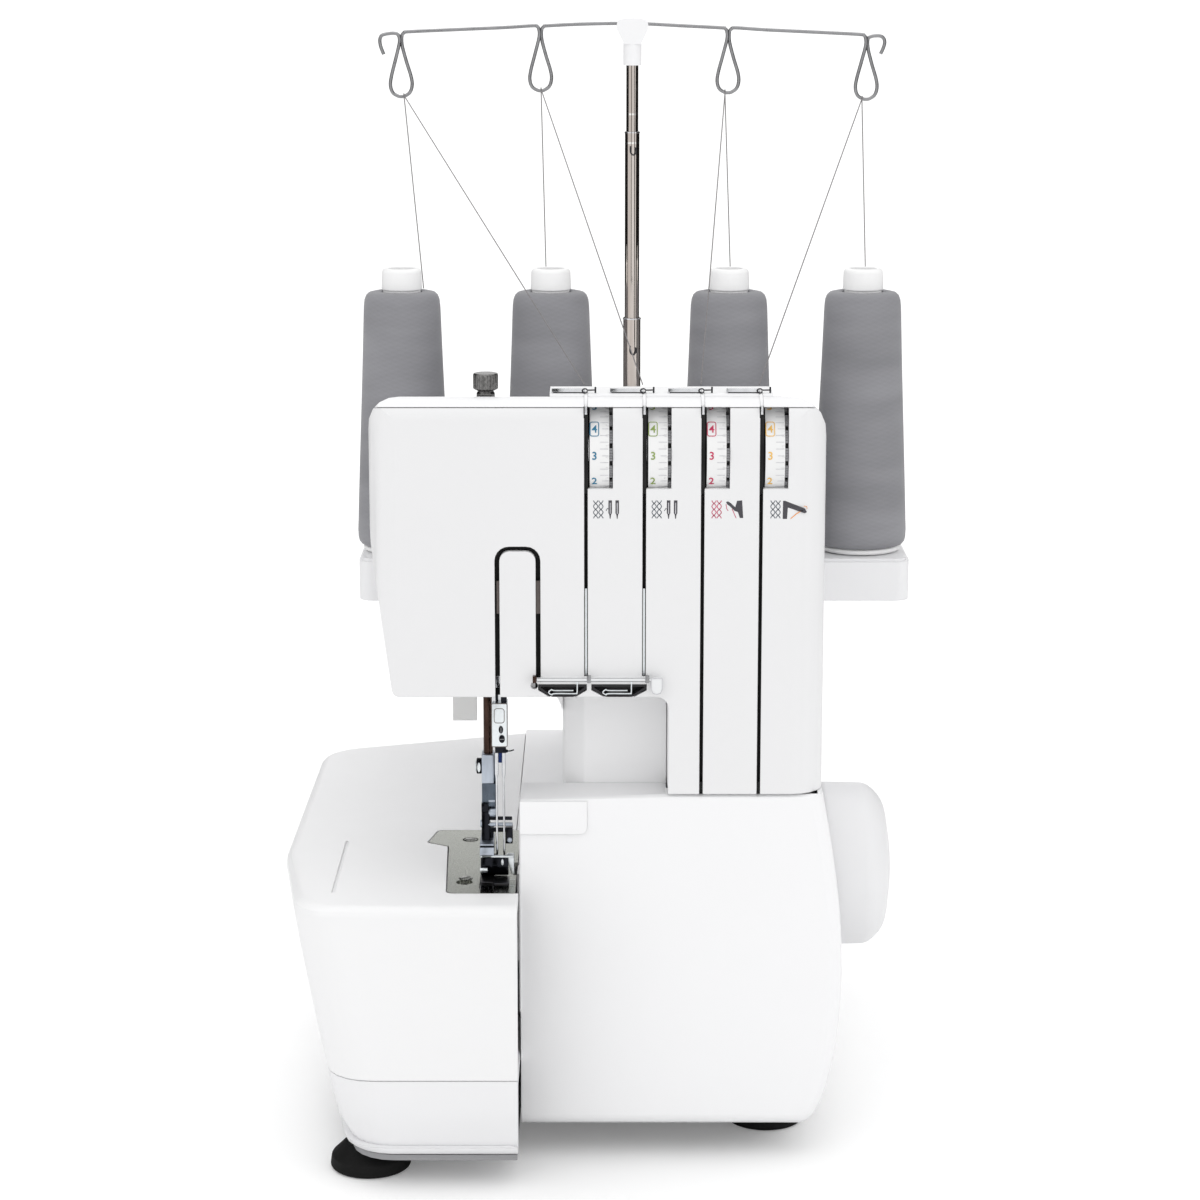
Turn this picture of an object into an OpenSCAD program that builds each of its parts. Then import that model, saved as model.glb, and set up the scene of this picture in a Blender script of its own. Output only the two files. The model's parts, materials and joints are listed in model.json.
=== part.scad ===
// Four-thread overlock sewing machine with a spool stand on its back.
// X runs towards the handwheel, Y towards the rear, Z up. The origin lies on the table
// under the middle of the machine.

/* [Head and column] */
// Distance from the middle plane to the right side of the column
column_right = 87; // [84:0.5:90]
// Width of the head together with the column
head_w = 190; // [186:1:194]
// Width of the column under the head
column_w = 110; // [106:1:114]
// Distance from the middle plane to the front of the head
head_front = 112; // [110:0.5:114]
// Depth of the head from front to back
head_d = 200; // [192:1:206]
// Height of the top at the front edge, before rounding
head_top = 331; // [329:0.5:333]
// Height of the underside of the head
head_under = 204; // [202:0.5:206]
// Slope of the top towards the rear, in degrees
top_slope = 10; // [9:0.5:11]
// Wall thickness of the housings
shell_wall = 3; // [2.4:0.1:3.4]
// Radius of the corners of the head seen from the front
head_corner_r = 13; // [8:1:16]
// How far the end of the head leans in at its lower edge
head_lean = 9.5; // [6:0.5:12]

/* [Lower body] */
// Height of the sewing surface
deck_h = 122.8; // [122:0.1:124]
// Distance from the middle plane to the front of the sewing table
table_front = 145; // [143:0.5:147]
// Distance from the middle plane to the left side of the sewing table
table_left = 145; // [143:0.5:147]
// How far the sides of the sewing table lean in towards the feet
table_lean = 24; // [18:1:26]
// Height of the seam between the base and the sewing table
base_seam = 47.6; // [46:0.2:49]
// Height of the lower edge of the housings above the table top
edge_h = 14; // [13.8:0.1:15]
// Height of the seam above the looper cover
cover_seam = 162; // [160:0.5:164]
// How far the right side swells out at its widest
side_bulge = 9.3; // [6:0.1:11]
// Distance from the middle plane to the rear of the column
rear_reach = 143; // [141:0.5:145]
// Width of the seams between the outer shells
seam = 0.3; // [0.2:0.05:0.5]
// Height of the top cover above its seam at the front
lid_h = 5; // [4:0.5:7]

/* [Needle and foot] */
// Distance of the needle bar to the left of the middle plane
needle_left = 49.2; // [48.8:0.1:49.6]
// Distance of the needle bar in front of the middle plane
needle_front = 102; // [101.6:0.1:102.4]
// Radius of the needle bar
needle_bar_r = 2.4; // [2.2:0.1:2.6]
// Stroke of the needle bar
needle_stroke = 28; // [26:1:29]
// Distance between the two needles
needle_pitch = 3; // [2.6:0.1:3.4]
// Radius of the presser bar
presser_bar_r = 2; // [1.8:0.1:2.2]
// Lift of the presser foot
foot_lift = 6; // [4:0.5:6]
// Thickness of the needle plate
plate_t = 1.8; // [1.4:0.1:2]

/* [Threading] */
// Distance from one tension unit to the next
tension_pitch = 24.1; // [23.8:0.1:24.4]
// Distance of the first thread slot to the left of the middle plane
first_slot_left = 12.8; // [12.4:0.1:13.2]
// Width of the thread slots
slot_w = 1.5; // [1.2:0.1:1.8]
// Radius of the tension dials
dial_r = 22; // [21.6:0.1:22.4]
// Width of a tension dial
dial_w = 8; // [7.6:0.1:8.2]
// Thread diameter
thread_d = 0.5; // [0.4:0.05:0.6]

/* [Spool stand] */
// Length of the spool stand
stand_w = 266; // [264:1:268]
// Distance from the middle plane to the right end of the spool stand
stand_right = 142.5; // [141.5:0.5:143]
// Height of the spool stand's top
stand_top = 222; // [220:0.5:224]
// Height of the spool stand from underside to top
stand_h = 20.5; // [19:0.5:21]
// Depth of the spool stand
stand_d = 55; // [54:0.5:56]
// Height of the cone windings
cone_h = 123.5; // [118:0.5:126]
// Radius of the windings near the foot of the cone
cone_r = 22.8; // [22:0.1:23.4]
// Radius of the windings at the shoulder of the cone
cone_top_r = 18.6; // [17:0.1:20]
// Height of the upper end of the telescopic mast
mast_top = 458; // [454:1:460]
// Radius of the top tube of the mast
mast_r = 2.9; // [2.7:0.05:3]
// Radius of the guide wire
wire_r = 1; // [0.8:0.1:1.2]
// Height of the thread eyelets' lower ends
eyelet_low = 443; // [440:1:445]

/* [Drive] */
// Radius of the handwheel
wheel_r = 36; // [34:0.5:38]
// Distance from the middle plane to the outer face of the handwheel
wheel_right = 121; // [120:0.2:123]
// Height of the main shaft
shaft_h = 111.3; // [110:0.1:112]
// Distance of the main shaft in front of the middle plane
shaft_front = 45; // [44:0.5:46]
// Radius of the main shaft
shaft_r = 5; // [4.6:0.1:5.4]
// Radial running clearance of shafts and bars in their bores
run_fit = 0.06; // [0.04:0.01:0.09]

/* [Hidden] */
$fn = 48;

// Planes of the housings
x_right = column_right;
x_left = column_right - head_w;
x_col = column_right - column_w;
y_front = -head_front;
y_back = head_d - head_front;
x_crease = x_col + 44.6;
y_split = y_front + 42;
ledge_h = stand_top - stand_h - seam;
deck_wall_z = deck_h - shell_wall;
x_block = -41.2;
x_slit = x_block - 3;
slit_front = 33;
bulge_h = 82;
foot_in_x = 79;
face = 0.3;

// Needle area
x_needle = -needle_left;
y_needle = -needle_front;
x_presser = x_needle - 5.3;
y_presser = y_needle + 8;

// Spool stand
stand_y = y_back + seam;
mast_x = 8.4;
mast_y = stand_y + stand_d / 2 - 1;
cone_x = [-102.6, -30.7, 55.3, 119.9];
eyelet_x = [-100.5, -35.1, 52.6, 118];

// ---------- Outline helpers ----------

// Arc that rounds the corner q between its neighbours p and s with radius r, in n steps
function corner(p, q, s, r, n) =
    r <= 0 ? [q] :
    let(
        u = (p - q) / norm(p - q), v = (s - q) / norm(s - q),
        half = acos(u * v) / 2, t = r / tan(half),
        c = q + (u + v) / norm(u + v) * r / sin(half),
        a = q + u * t - c, b = q + v * t - c,
        a0 = atan2(a.y, a.x), turn = atan2(b.y, b.x) - a0,
        sweep = turn > 180 ? turn - 360 : turn < -180 ? turn + 360 : turn
    )
    [for (i = [0:n]) c + r * [cos(a0 + sweep * i / n), sin(a0 + sweep * i / n)]];

// Polygon through points [x, y, radius], with each corner rounded
function rounded(pts, n = 5) = [
    for (i = [0:len(pts) - 1])
        let(p = pts[(i + len(pts) - 1) % len(pts)], q = pts[i], s = pts[(i + 1) % len(pts)])
        each corner([p.x, p.y], [q.x, q.y], [s.x, s.y], q.z, n)
];

// Prisms along the three axes; the outline is given in the other two axes
module prism_z(pts, z0, z1) translate([0, 0, z0]) linear_extrude(z1 - z0) polygon(pts);
module prism_y(pts, y0, y1) translate([0, y1, 0]) rotate([90, 0, 0]) linear_extrude(y1 - y0) polygon(pts);
module prism_x(pts, x0, x1) translate([x0, 0, 0]) rotate([90, 0, 90]) linear_extrude(x1 - x0) polygon(pts);

// Box between two corners
module box(a, b) translate(a) cube(b - a);

// Round bars along each axis
module bar_x(x0, x1, y, z, r) translate([x0, y, z]) rotate([0, 90, 0]) cylinder(h = x1 - x0, r = r);
module bar_y(y0, y1, x, z, r) translate([x, y0, z]) rotate([-90, 0, 0]) cylinder(h = y1 - y0, r = r);
module bar_z(z0, z1, x, y, r) translate([x, y, z0]) cylinder(h = z1 - z0, r = r);

// Straight round rod from p to q
module rod(p, q, r) {
    d = q - p;
    translate(p)
        rotate([0, acos(d.z / norm(d)), atan2(d.y, d.x)])
            cylinder(h = norm(d), r = r, $fn = 24);
}

// Solid through a stack of rings that all have the same number of points; closed joins the last
// ring to the first
module loft(rings, closed = false) {
    n = len(rings[0]);
    m = len(rings);
    polyhedron(
        points = [for (ring = rings) each ring],
        faces = concat(
            closed ? [] : [[for (i = [0:n - 1]) i], [for (i = [n - 1:-1:0]) (m - 1) * n + i]],
            [for (k = [0:m - (closed ? 1 : 2)], i = [0:n - 1], a = k * n, b = ((k + 1) % m) * n)
                [a + i, b + i, b + (i + 1) % n, a + (i + 1) % n]]
        )
    );
}

// ---------- Shared outlines ----------

// Height of the sloping top at depth y
function top_z(y) = head_top - (y - y_front) * tan(top_slope);

// Front view of the head with the column down to the cover seam; e is the inset
function front_outline(e) = rounded([
    [x_left + e, 400, 0], [x_right - e, 400, 0],
    [x_right - e, cover_seam - (e > 0 ? 1 : 0), 0], [x_crease + e, cover_seam - (e > 0 ? 1 : 0), 0],
    [x_crease + e, head_under + e, 5], [x_left + head_lean + e, head_under + e, 3],
    [x_left + e, head_under + 68, 60],
]);

function rear_outline(e) = rounded([
    [x_left + e, 400, 0], [x_right - e, 400, 0],
    [x_right - e, cover_seam - (e > 0 ? 1 : 0), 0], [x_col + e, cover_seam - (e > 0 ? 1 : 0), 0],
    [x_col + e, head_under + e, 8], [x_left + head_lean + e, head_under + e, 3],
    [x_left + e, head_under + 68, 60],
]);

// Head between two depths: front outline, rounded upright edges and the sloping top
module head_shape(e, outline, y0, y1) {
    r = head_corner_r;
    intersection() {
        prism_y(outline, y0, y1);
        prism_z(rounded([
            [x_left + e, y_front + e, 12], [x_right - e, y_front + e, 14],
            [x_right - e, y_back - e, 10], [x_left + e, y_back - e, 10],
        ]), 0, 400);
        prism_x(rounded([
            [y_front + e, 0, 0], [y_front + e, top_z(y_front) - e, 9],
            [y_back - e, top_z(y_back) - e, 9], [y_back - e, 0, 0],
        ]), x_left - 1, x_right + 1);
        translate([0, y_front, head_top])
            rotate([-top_slope, 0, 0])
                prism_y(rounded([
                    [x_left + e, -400, 0], [x_left + e, -e, r], [x_right - e, -e, r + 3],
                    [x_right - e, -400, 0],
                ]), -90, 320);
    }
}

// Region above a plane parallel to the top, drop below it
module above_top_seam(drop)
    prism_x([
        [y_front - 5, top_z(y_front - 5) - drop], [y_front - 5, 420],
        [y_back + 5, 420], [y_back + 5, top_z(y_back + 5) - drop],
    ], x_left - 5, x_right + 5);

// Right side from the cover seam down: it swells, then curves in to the lower edge
function side_curve(e) =
    let(low = bulge_h - edge_h, x_max = x_right + side_bulge, a = x_max - foot_in_x)
    concat(
        [for (i = [0:5]) [x_right - e + side_bulge * sin(90 * i / 6),
                          cover_seam - (cover_seam - bulge_h) * i / 6]],
        [for (t = [0:10:90]) [x_max - a + (a - e) * cos(t), bulge_h - (low - e) * sin(t)]]
    );

// Plan of the sewing table and its base at height z; e is the inset
function lean(z) = table_lean * pow(max(0, 1 - z / deck_h), 1.15);
function table_plan(z, e) =
    let(x = -table_left + lean(z) + e, y = -table_front + e)
    rounded([
        [x_block, rear_reach - 1 - e, 0], [x + 1.5, 107 - e, 24 - e / 2],
        [x, -66, 60], [x + 12, y, 20 - e / 2], [x_block, y, 0],
    ]);
function table_ring(z, e) = [for (p = table_plan(z, e)) [p.x, p.y, z]];

// ---------- Base and feet ----------

feet_xy = [[-105, -119], [-105, 92], [66, -66], [66, 118]];
foot_h = edge_h - 3;

module rubber_feet() {
    color("black")
        for (p = feet_xy)
            translate([p.x, p.y, 0])
                rotate_extrude()
                    polygon(rounded([
                        [0, 0, 0], [17.4, 0, 1.5], [16.6, 5.5, 2], [11, foot_h, 1], [0, foot_h, 0],
                    ], 4));
}

plate_z = foot_h + face;

module bottom_plate() {
    color("dimgray")
        difference() {
            union() {
                prism_z([for (p = table_plan(edge_h, 3)) [min(p.x, x_block - 0.5), p.y]],
                    plate_z, edge_h - face);
                box([x_block - 8, y_front + 28, plate_z], [foot_in_x - 4, rear_reach - 4, edge_h - face]);
            }
            for (i = [0:7])
                box([-10 + i * 8, 20, plate_z - 1], [-6 + i * 8, 70, edge_h]);
        }
}

module base_housing() {
    r = 4;
    color("white")
        difference() {
            loft(concat(
                [for (t = [0:30:90]) table_ring(edge_h + r * (1 - sin(t)), r * (1 - cos(t)))],
                [for (k = [1:3])
                    table_ring(edge_h + r + (base_seam - seam - edge_h - r) * k / 3, 0)]
            ));
            loft([
                table_ring(edge_h - 1, shell_wall + 2),
                table_ring(base_seam - seam - shell_wall, shell_wall + 1),
            ]);
            box([x_slit - seam, -slit_front - seam, 0], [0, 200, 100]);
        }
}

// ---------- Lower body ----------

module lower_space(e, y0, y1)
    prism_y(concat(
        [[x_col + e, cover_seam - seam - (e > 0 ? -2 : 0)]],
        [for (p = side_curve(e)) [p.x, min(p.y, cover_seam - seam) + (e > 0 && p.y >= cover_seam ? 3 : 0)]],
        [[x_slit + e, edge_h + e], [x_slit + e, deck_h - e], [x_col + e, deck_h - e]]
    ), y0, y1);

pocket_x = x_right + 0.5;
pocket_r = wheel_r + 1.5;

module lower_housing() {
    color("white")
        difference() {
            intersection() {
                lower_space(0, hinge_y + 1.7 + seam, rear_reach);
                prism_z(rounded([
                    [x_slit - 1, -200, 0], [120, -200, 0], [x_right + side_bulge, rear_reach, 12],
                    [x_slit - 1, rear_reach, 0],
                ]), 0, 400);
            }
            difference() {
                lower_space(shell_wall, hinge_y - 5, rear_reach - shell_wall);
                bar_x(pocket_x - shell_wall, 200, -shaft_front, shaft_h, pocket_r + shell_wall);
            }
            // Round pocket that takes the handwheel
            bar_x(pocket_x, 200, -shaft_front, shaft_h, pocket_r);
            // Open front, and the bay where the free arm leaves the body
            box([x_slit - 5, -200, 0], [x_col + 1, -slit_front, 300]);
            box([x_slit - 5, -200, 0], [x_right - 14, y_split + seam, 300]);
            box([x_slit - 5, -200, edge_h + shell_wall], [x_slit + 10, -slit_front + 1, deck_h - 6]);
            // Room for the turning cover edge
            bar_x(60, 120, hinge_y, hinge_z, 6.5);
            // Handwheel shaft, dials, switch and inlet on the right side
            bar_x(x_right - 10, x_right + 20, -shaft_front, shaft_h, 13);
            bar_x(x_right - 10, x_right + 20, stitch_y, dial_z, side_dial_r + 0.8);
            bar_x(x_right - 10, x_right + 20, feed_dial_y, dial_z, side_dial_r + 0.8);
            box([x_right - 10, switch_y - 6, switch_z - 11], [x_right + 20, switch_y + 6, switch_z + 11]);
            box([x_right - 10, inlet_y - 12, switch_z - 10], [x_right + 20, inlet_y + 12, switch_z + 10]);
            // Cooling slots through the rear wall
            for (i = [0:9])
                box([10 + i * 6, rear_reach - 10, 30], [13 + i * 6, rear_reach + 1, 62]);
        }
}

// ---------- Upper body ----------

module front_panel() {
    color("white")
        difference() {
            head_shape(0, front_outline(0), y_front, y_split);
            head_shape(shell_wall, front_outline(shell_wall), y_front + shell_wall, y_split + 1);
            above_top_seam(lid_h);
            thread_slots(y_front + 9);
            dial_windows();
            take_up_slot();
            for (k = [0:1])
                scoop(k, 0.3, y_front - 1, y_front + 9);
            needle_bay(6);
            guide_posts(0.1);
        }
}

module rear_housing() {
    color("white")
        difference() {
            union() {
                head_shape(0, rear_outline(0), y_split + seam, y_back);
                ledge(0);
            }
            head_shape(shell_wall, rear_outline(shell_wall), y_split - 1, y_back - shell_wall);
            ledge(shell_wall);
            above_top_seam(lid_h);
            needle_bay(6);
            lifter_slot();
            lamp_bay();
            face_bay();
        }
}

// Rear ledge of the column, which carries the spool stand
module ledge(e)
    prism_z(rounded([
        [x_col + e, y_split + seam - (e > 0 ? 2 : 0), 0], [x_right - e, y_split + seam - (e > 0 ? 2 : 0), 0],
        [x_right - e, rear_reach - e, 12 - e], [x_col + e, rear_reach - e, 12 - e],
    ]), cover_seam - (e > 0 ? 1 : 0), ledge_h - e);

module top_cover() {
    color("white")
        difference() {
            union() {
                intersection() {
                    difference() {
                        head_shape(0, front_or_all(0), y_front, y_back);
                        head_shape(shell_wall, front_or_all(shell_wall), y_front, y_back);
                    }
                    above_top_seam(lid_h - seam);
                }
                // Low rail that carries the thread guides
                prism_x(rounded([
                    [rail_y - 4, top_z(rail_y) - 2, 0], [rail_y - 4, rail_top, 1.5],
                    [rail_y + 18, rail_top, 1.5], [rail_y + 24, top_z(rail_y + 24) - 2, 0],
                ]), slot_x(0) - 15, slot_x(3) + 5);
            }
            thread_slots(rail_y + 4);
            dial_windows();
            for (i = [0:3])
                bar_x(slot_x(i) + 1, slot_x(i) + dial_w + 3.1, dial_y, dial_axis_z, dial_r + 0.6);
            bar_z(280, 400, x_presser, y_presser, 7.5);
        }
}

function front_or_all(e) = rounded([
    [x_left + e, 400, 0], [x_right - e, 400, 0], [x_right - e, 200, 0], [x_left + e, 200, 0],
]);

rail_y = y_front + 14;
rail_top = head_top - 0.6;

// Left end of the head: a lid over the needle bar works
module face_bay() prism_x(face_outline(-seam), x_left - 1, x_left + 3.5);
function face_outline(e) = rounded([
    [y_split + 8 + e, head_under + 72 + e, 5], [22 - e, head_under + 72 + e, 5],
    [22 - e, top_z(22) - 15 - e, 5], [y_split + 8 + e, top_z(y_split + 8) - 15 - e, 5],
]);

module face_plate() {
    color("whitesmoke")
        difference() {
            union() {
                prism_x(face_outline(0), x_left + 0.4, x_left + 2.6);
                for (k = [0, 1])
                    bar_x(x_left + 2, x_left + 6, y_split + 16 + k * 60, head_under + 78, 2);
            }
            for (i = [0:4])
                box([x_left, y_split + 30 + i * 8, head_under + 78],
                    [x_left + 1.2, y_split + 33 + i * 8, head_under + 90]);
        }
}

module column_panel() {
    w = shell_wall;
    color("white")
        difference() {
            prism_z(rounded([
                [x_col, y_split, 0], [x_col, y_split - 9, 4], [x_col + 9.6, y_front + 27, 4],
                [x_crease - seam, y_front + 27, 0], [x_crease - seam, y_split, 0],
            ]), deck_h + seam, head_under - seam);
            prism_z([
                [x_col + w, y_split + 1], [x_col + w, y_split - 8], [x_col + 10.5, y_front + 27 + w],
                [x_crease - seam - w, y_front + 27 + w], [x_crease - seam - w, y_split + 1],
            ], deck_h, head_under);
            // Notch below the fold of the front panel
            box([x_crease - w - 1, y_front + 20, head_under - w - 1], [x_crease, y_split + 1, head_under]);
        }
}

// ---------- Slots and windows of the front ----------

function slot_x(i) = -first_slot_left + tension_pitch * i;

// The first two slots end above the guide bar, the other two above the cover
module thread_slots(y1) {
    for (i = [0:3])
        box([slot_x(i) - slot_w / 2, y_front - 5, (i < 2 ? head_under + 9 : cover_seam + 5)],
            [slot_x(i) + slot_w / 2, y1, 400]);
    for (i = [2:3])
        box([slot_x(i) - slot_w / 2, y_front - 5, cover_seam - 1],
            [slot_x(i) + slot_w / 2, y_front + 1.2, cover_seam + 6]);
}

dial_y = y_front - 1 + dial_r;
dial_axis_z = 305.5;

module dial_windows()
    for (i = [0:3])
        box([slot_x(i), y_front - 5, dial_axis_z - 13.2],
            [slot_x(i) + dial_w + 3.1, y_front + 25, head_top - lid_h]);

// U-shaped slot round the take-up tongue
module take_up_slot() {
    x0 = x_needle - 1.5;
    x1 = x0 + 19;
    z1 = head_under + 64;
    difference() {
        prism_y(rounded([[x0, head_under - 1, 0], [x0, z1, 6], [x1, z1, 6], [x1, head_under - 1, 0]]),
            y_front - 1, y_front + shell_wall + 1);
        prism_y(rounded([
            [x0 + 2, head_under - 2, 0], [x0 + 2, z1 - 2, 4.2], [x1 - 2, z1 - 2, 4.2],
            [x1 - 2, head_under - 2, 0],
        ]), y_front - 2, y_front + shell_wall + 2);
        box([x1 - 3, y_front - 2, head_under - 2], [x1 + 1, y_front + 20, head_under + 7]);
    }
}

// Half-moon recess k at the lower edge of the head; e grows it
module scoop(k, e, y0, y1) {
    x0 = x_crease - 54.1 + k * 22.2;
    w = 19.7 + k * 2.8;
    z1 = head_under + 5.2;
    prism_y(rounded([
        [x0 - e, z1 + e, 0], [x0 - e, z1 - 2 - e, 0], [x0 + w * 0.25, head_under - e, 4],
        [x0 + w * 0.75, head_under - e, 4], [x0 + w + e, z1 - 2 - e, 0], [x0 + w + e, z1 + e, 0],
    ], 4), y0, y1);
}

module scoop_cups() {
    color("#1c1a1f")
        for (k = [0:1])
            difference() {
                scoop(k, 0, y_front + 0.2, y_front + 8);
                scoop(k, -0.8, y_front - 1, y_front + 6);
            }
}

// Opening in the underside for the needle bar and the presser bar
module needle_bay(e)
    box([x_presser - e, y_needle - 5.5, head_under - 1], [x_needle + e + 1, y_presser + 9, head_under + 8]);

module lifter_slot()
    box([lifter_x - 7, lifter_y - 8, head_under - 1], [lifter_x + 7, lifter_y + 36, head_under + 10]);

module lamp_bay()
    box([x_col - 18, y_split + 8, head_under - 1], [x_col - 4, y_split + 30, head_under + 10]);

// ---------- Frame and inner works ----------

bed_z = edge_h + shell_wall + face;
wall_y = y_split + 4;
hinge_y = y_front + 10;
hinge_z = edge_h + 3;
rod_r = 2;
lower_pivot = [-34, 58];
upper_pivot = [-8, 62];
rocker_y = y_needle + 50;
rocker_z = 262;
rocker_r = 4;
rocker_rest = atan(needle_stroke / 2 / (rocker_y - y_needle));
rocker_arm = (rocker_y - y_needle) / cos(rocker_rest);
stud_z = rocker_z + needle_stroke / 2;
boss_low = head_under + 8;
boss_top = stud_z + 14;
motor_y = rear_reach - 48;
motor_z = 60;
motor_r = 28;
pulley_r = 28;
motor_pulley_r = 5.6;
bush_r = shaft_r + 3;
frame_plates = [x_col + 13, x_col + 73];

module main_frame() {
    color("silver")
        difference() {
            union() {
                // Bed with the two ears of the cover hinge
                box([x_block + 5, y_split - 4, bed_z], [74, rear_reach - 15, bed_z + 5]);
                for (x = ear_x) {
                    bar_x(x, x + 4, hinge_y, hinge_z, 4);
                    box([x, hinge_y, hinge_z - 2], [x + 4, y_split - 3, hinge_z + 4]);
                }
                // Wall behind the loopers and its arm under the needle plate
                box([x_block + 5, wall_y, bed_z], [60, wall_y + 6, 118]);
                box([-95.7, wall_y, base_seam + 2.3], [x_block + 6, wall_y + 6, deck_wall_z - 2.7]);
                // Bearing plates of the column
                for (x = frame_plates)
                    prism_x(rounded([
                        [wall_y + 5, bed_z, 0], [70, bed_z, 0], [70, 270, 12], [-20, 285, 20],
                        [wall_y + 6.3, 300, 4],
                    ]), x, x + 6);
                // Arm in the head with the bosses of needle bar and presser bar
                box([x_presser - 10, rocker_y + 16, 240], [frame_plates[1] + 1, rocker_y + 42, 275]);
                box([x_presser - 10, y_needle, boss_low], [x_presser - 5.6, rocker_y + 17, boss_top + 8]);
                for (z = [boss_low, boss_top])
                    prism_z(rounded([
                        [x_presser - 10, y_needle - 5.3, 4], [x_needle + 6, y_needle - 5.3, 5],
                        [x_needle + 6, rocker_y + 13, 0], [x_presser - 10, rocker_y + 13, 0],
                    ]), z, z + (z == boss_low ? 16 : 9));
                box([x_presser - 10, rocker_y + 8, boss_low], [x_needle + 6, rocker_y + 14, boss_top + 9]);
                bar_z(boss_top, boss_top + 27, x_presser, y_presser, 5.2);
                // Lugs of the lifter shaft
                for (x = [lifter_x + 7, lifter_x + 15])
                    prism_x(rounded([
                        [rocker_y + 30, 242, 0], [lifter_y - 6, lifter_z - 5, 3], [lifter_y + 6, lifter_z - 5, 5],
                        [lifter_y + 4, 250, 5], [rocker_y + 30, 258, 0],
                    ]), x, x + 4);
                box([lifter_x + 5, rocker_y + 30, 242], [x_needle, rocker_y + 42, 262]);
                // Bosses of the looper shafts
                for (p = [lower_pivot, upper_pivot])
                    bar_y(wall_y - 6, wall_y + 12, p.x, p.y, 8);
            }
            bar_z(boss_low - 1, boss_top + 20, x_needle, y_needle, needle_bar_r + run_fit);
            bar_z(boss_low - 1, boss_top + 10, x_presser, y_presser, presser_bar_r + run_fit);
            bar_z(boss_top + 9, boss_top + 40, x_presser, y_presser, screw_r + run_fit);
            bar_x(-100, 100, rocker_y, rocker_z, rocker_r + run_fit);
            bar_x(lifter_x, lifter_x + 30, lifter_y, lifter_z, 3.5 + run_fit);
            bar_x(-40, 100, -shaft_front, shaft_h, bush_r + 0.02);
            bar_x(-60, 100, hinge_y, hinge_z, rod_r + run_fit);
            for (p = [lower_pivot, upper_pivot])
                bar_y(wall_y - 10, wall_y + 20, p.x, p.y, 4 + run_fit);
            // Window for the feed bar
            box([feed_x - 3.4, wall_y - 1, feed_z - 0.3], [feed_x + 3.4, wall_y + 8, feed_z + 4.3]);
            // Lightening holes of the bearing plates
            for (x = frame_plates, z = [165, 215])
                bar_x(x - 1, x + 7, 10, z, 17);
        }
}

ear_x = [x_block + 4.2, 68];

module shaft_bushes() {
    color("goldenrod")
        for (x = frame_plates)
            difference() {
                bar_x(x - 1, x + 7, -shaft_front, shaft_h, bush_r);
                bar_x(x - 2, x + 8, -shaft_front, shaft_h, shaft_r + run_fit);
            }
}

module main_shaft() {
    color("silver")
        difference() {
            union() {
                bar_x(frame_plates[0] - 22, wheel_right - 4, -shaft_front, shaft_h, shaft_r);
                // Driving pulley with two flanges
                bar_x(66, 74, -shaft_front, shaft_h, pulley_r - 0.3);
                for (x = [65, 74])
                    bar_x(x, x + 1, -shaft_front, shaft_h, pulley_r + 3);
                // Crank discs of the looper and knife drives
                for (x = [frame_plates[0] - 12, frame_plates[0] + 14])
                    bar_x(x, x + 6, -shaft_front, shaft_h, 8.5);
            }
            for (a = [0:60:300])
                translate([0, -shaft_front, shaft_h])
                    rotate([a, 0, 0])
                        bar_x(60, 80, 17, 0, 5);
        }
}

module handwheel() {
    w = wheel_right - wheel_left;
    color("white")
        translate([wheel_left, -shaft_front, shaft_h])
            rotate([0, 90, 0])
                difference() {
                    rotate_extrude($fn = 96)
                        polygon(rounded([
                            [0, w, 0], [12, w, 20], [wheel_r - 7, w - 2.6, 14], [wheel_r - 0.4, w - 10, 8],
                            [wheel_r, 3, 4], [wheel_r - 3, 0, 2], [wheel_r - 6, 0, 1], [wheel_r - 7, w - 9, 6],
                            [13, w - 7, 3], [11, -6, 0], [0, -6, 0],
                        ], 4));
                    translate([0, 0, -20])
                        cylinder(h = 20 + w - 3.6, r = shaft_r + 0.02);
                }
}

wheel_left = pocket_x + 0.8;

module motor() {
    color("dimgray")
        difference() {
            union() {
                bar_x(0, 46, motor_y, motor_z, motor_r);
                bar_x(46, 50, motor_y, motor_z, 9);
                box([4, motor_y - 20, bed_z + 5.3], [10, motor_y + 20, motor_z - 10]);
                box([36, motor_y - 20, bed_z + 5.3], [42, motor_y + 20, motor_z - 10]);
            }
            bar_x(30, 60, motor_y, motor_z, 3 + run_fit);
            for (a = [0:30:330])
                translate([0, motor_y, motor_z])
                    rotate([a, 0, 0])
                        box([14, motor_r - 2, -2], [32, motor_r + 2, 2]);
        }
}

module motor_pulley() {
    color("silver") {
        bar_x(32, 76, motor_y, motor_z, 3);
        bar_x(66, 74, motor_y, motor_z, motor_pulley_r);
        for (x = [65, 74])
            bar_x(x, x + 1, motor_y, motor_z, motor_pulley_r + 2);
    }
}

module belt_outline(grow)
    hull() {
        bar_x(67, 73, -shaft_front, shaft_h, pulley_r + grow);
        bar_x(67, 73, motor_y, motor_z, motor_pulley_r + 0.3 + grow);
    }

module drive_belt() {
    color("#202020")
        difference() {
            belt_outline(1.6);
            translate([70, 0, 0]) scale([2, 1, 1]) translate([-70, 0, 0]) belt_outline(0);
        }
}

// ---------- Needle bar and presser bar ----------

module needle_bar() {
    color("silver") {
        bar_z(head_under - 19.8, boss_top + 35, x_needle, y_needle, needle_bar_r);
    }
}

clamp_z = head_under - 26;
clamp_back = 3.5;
clamp_h = 20;

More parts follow.
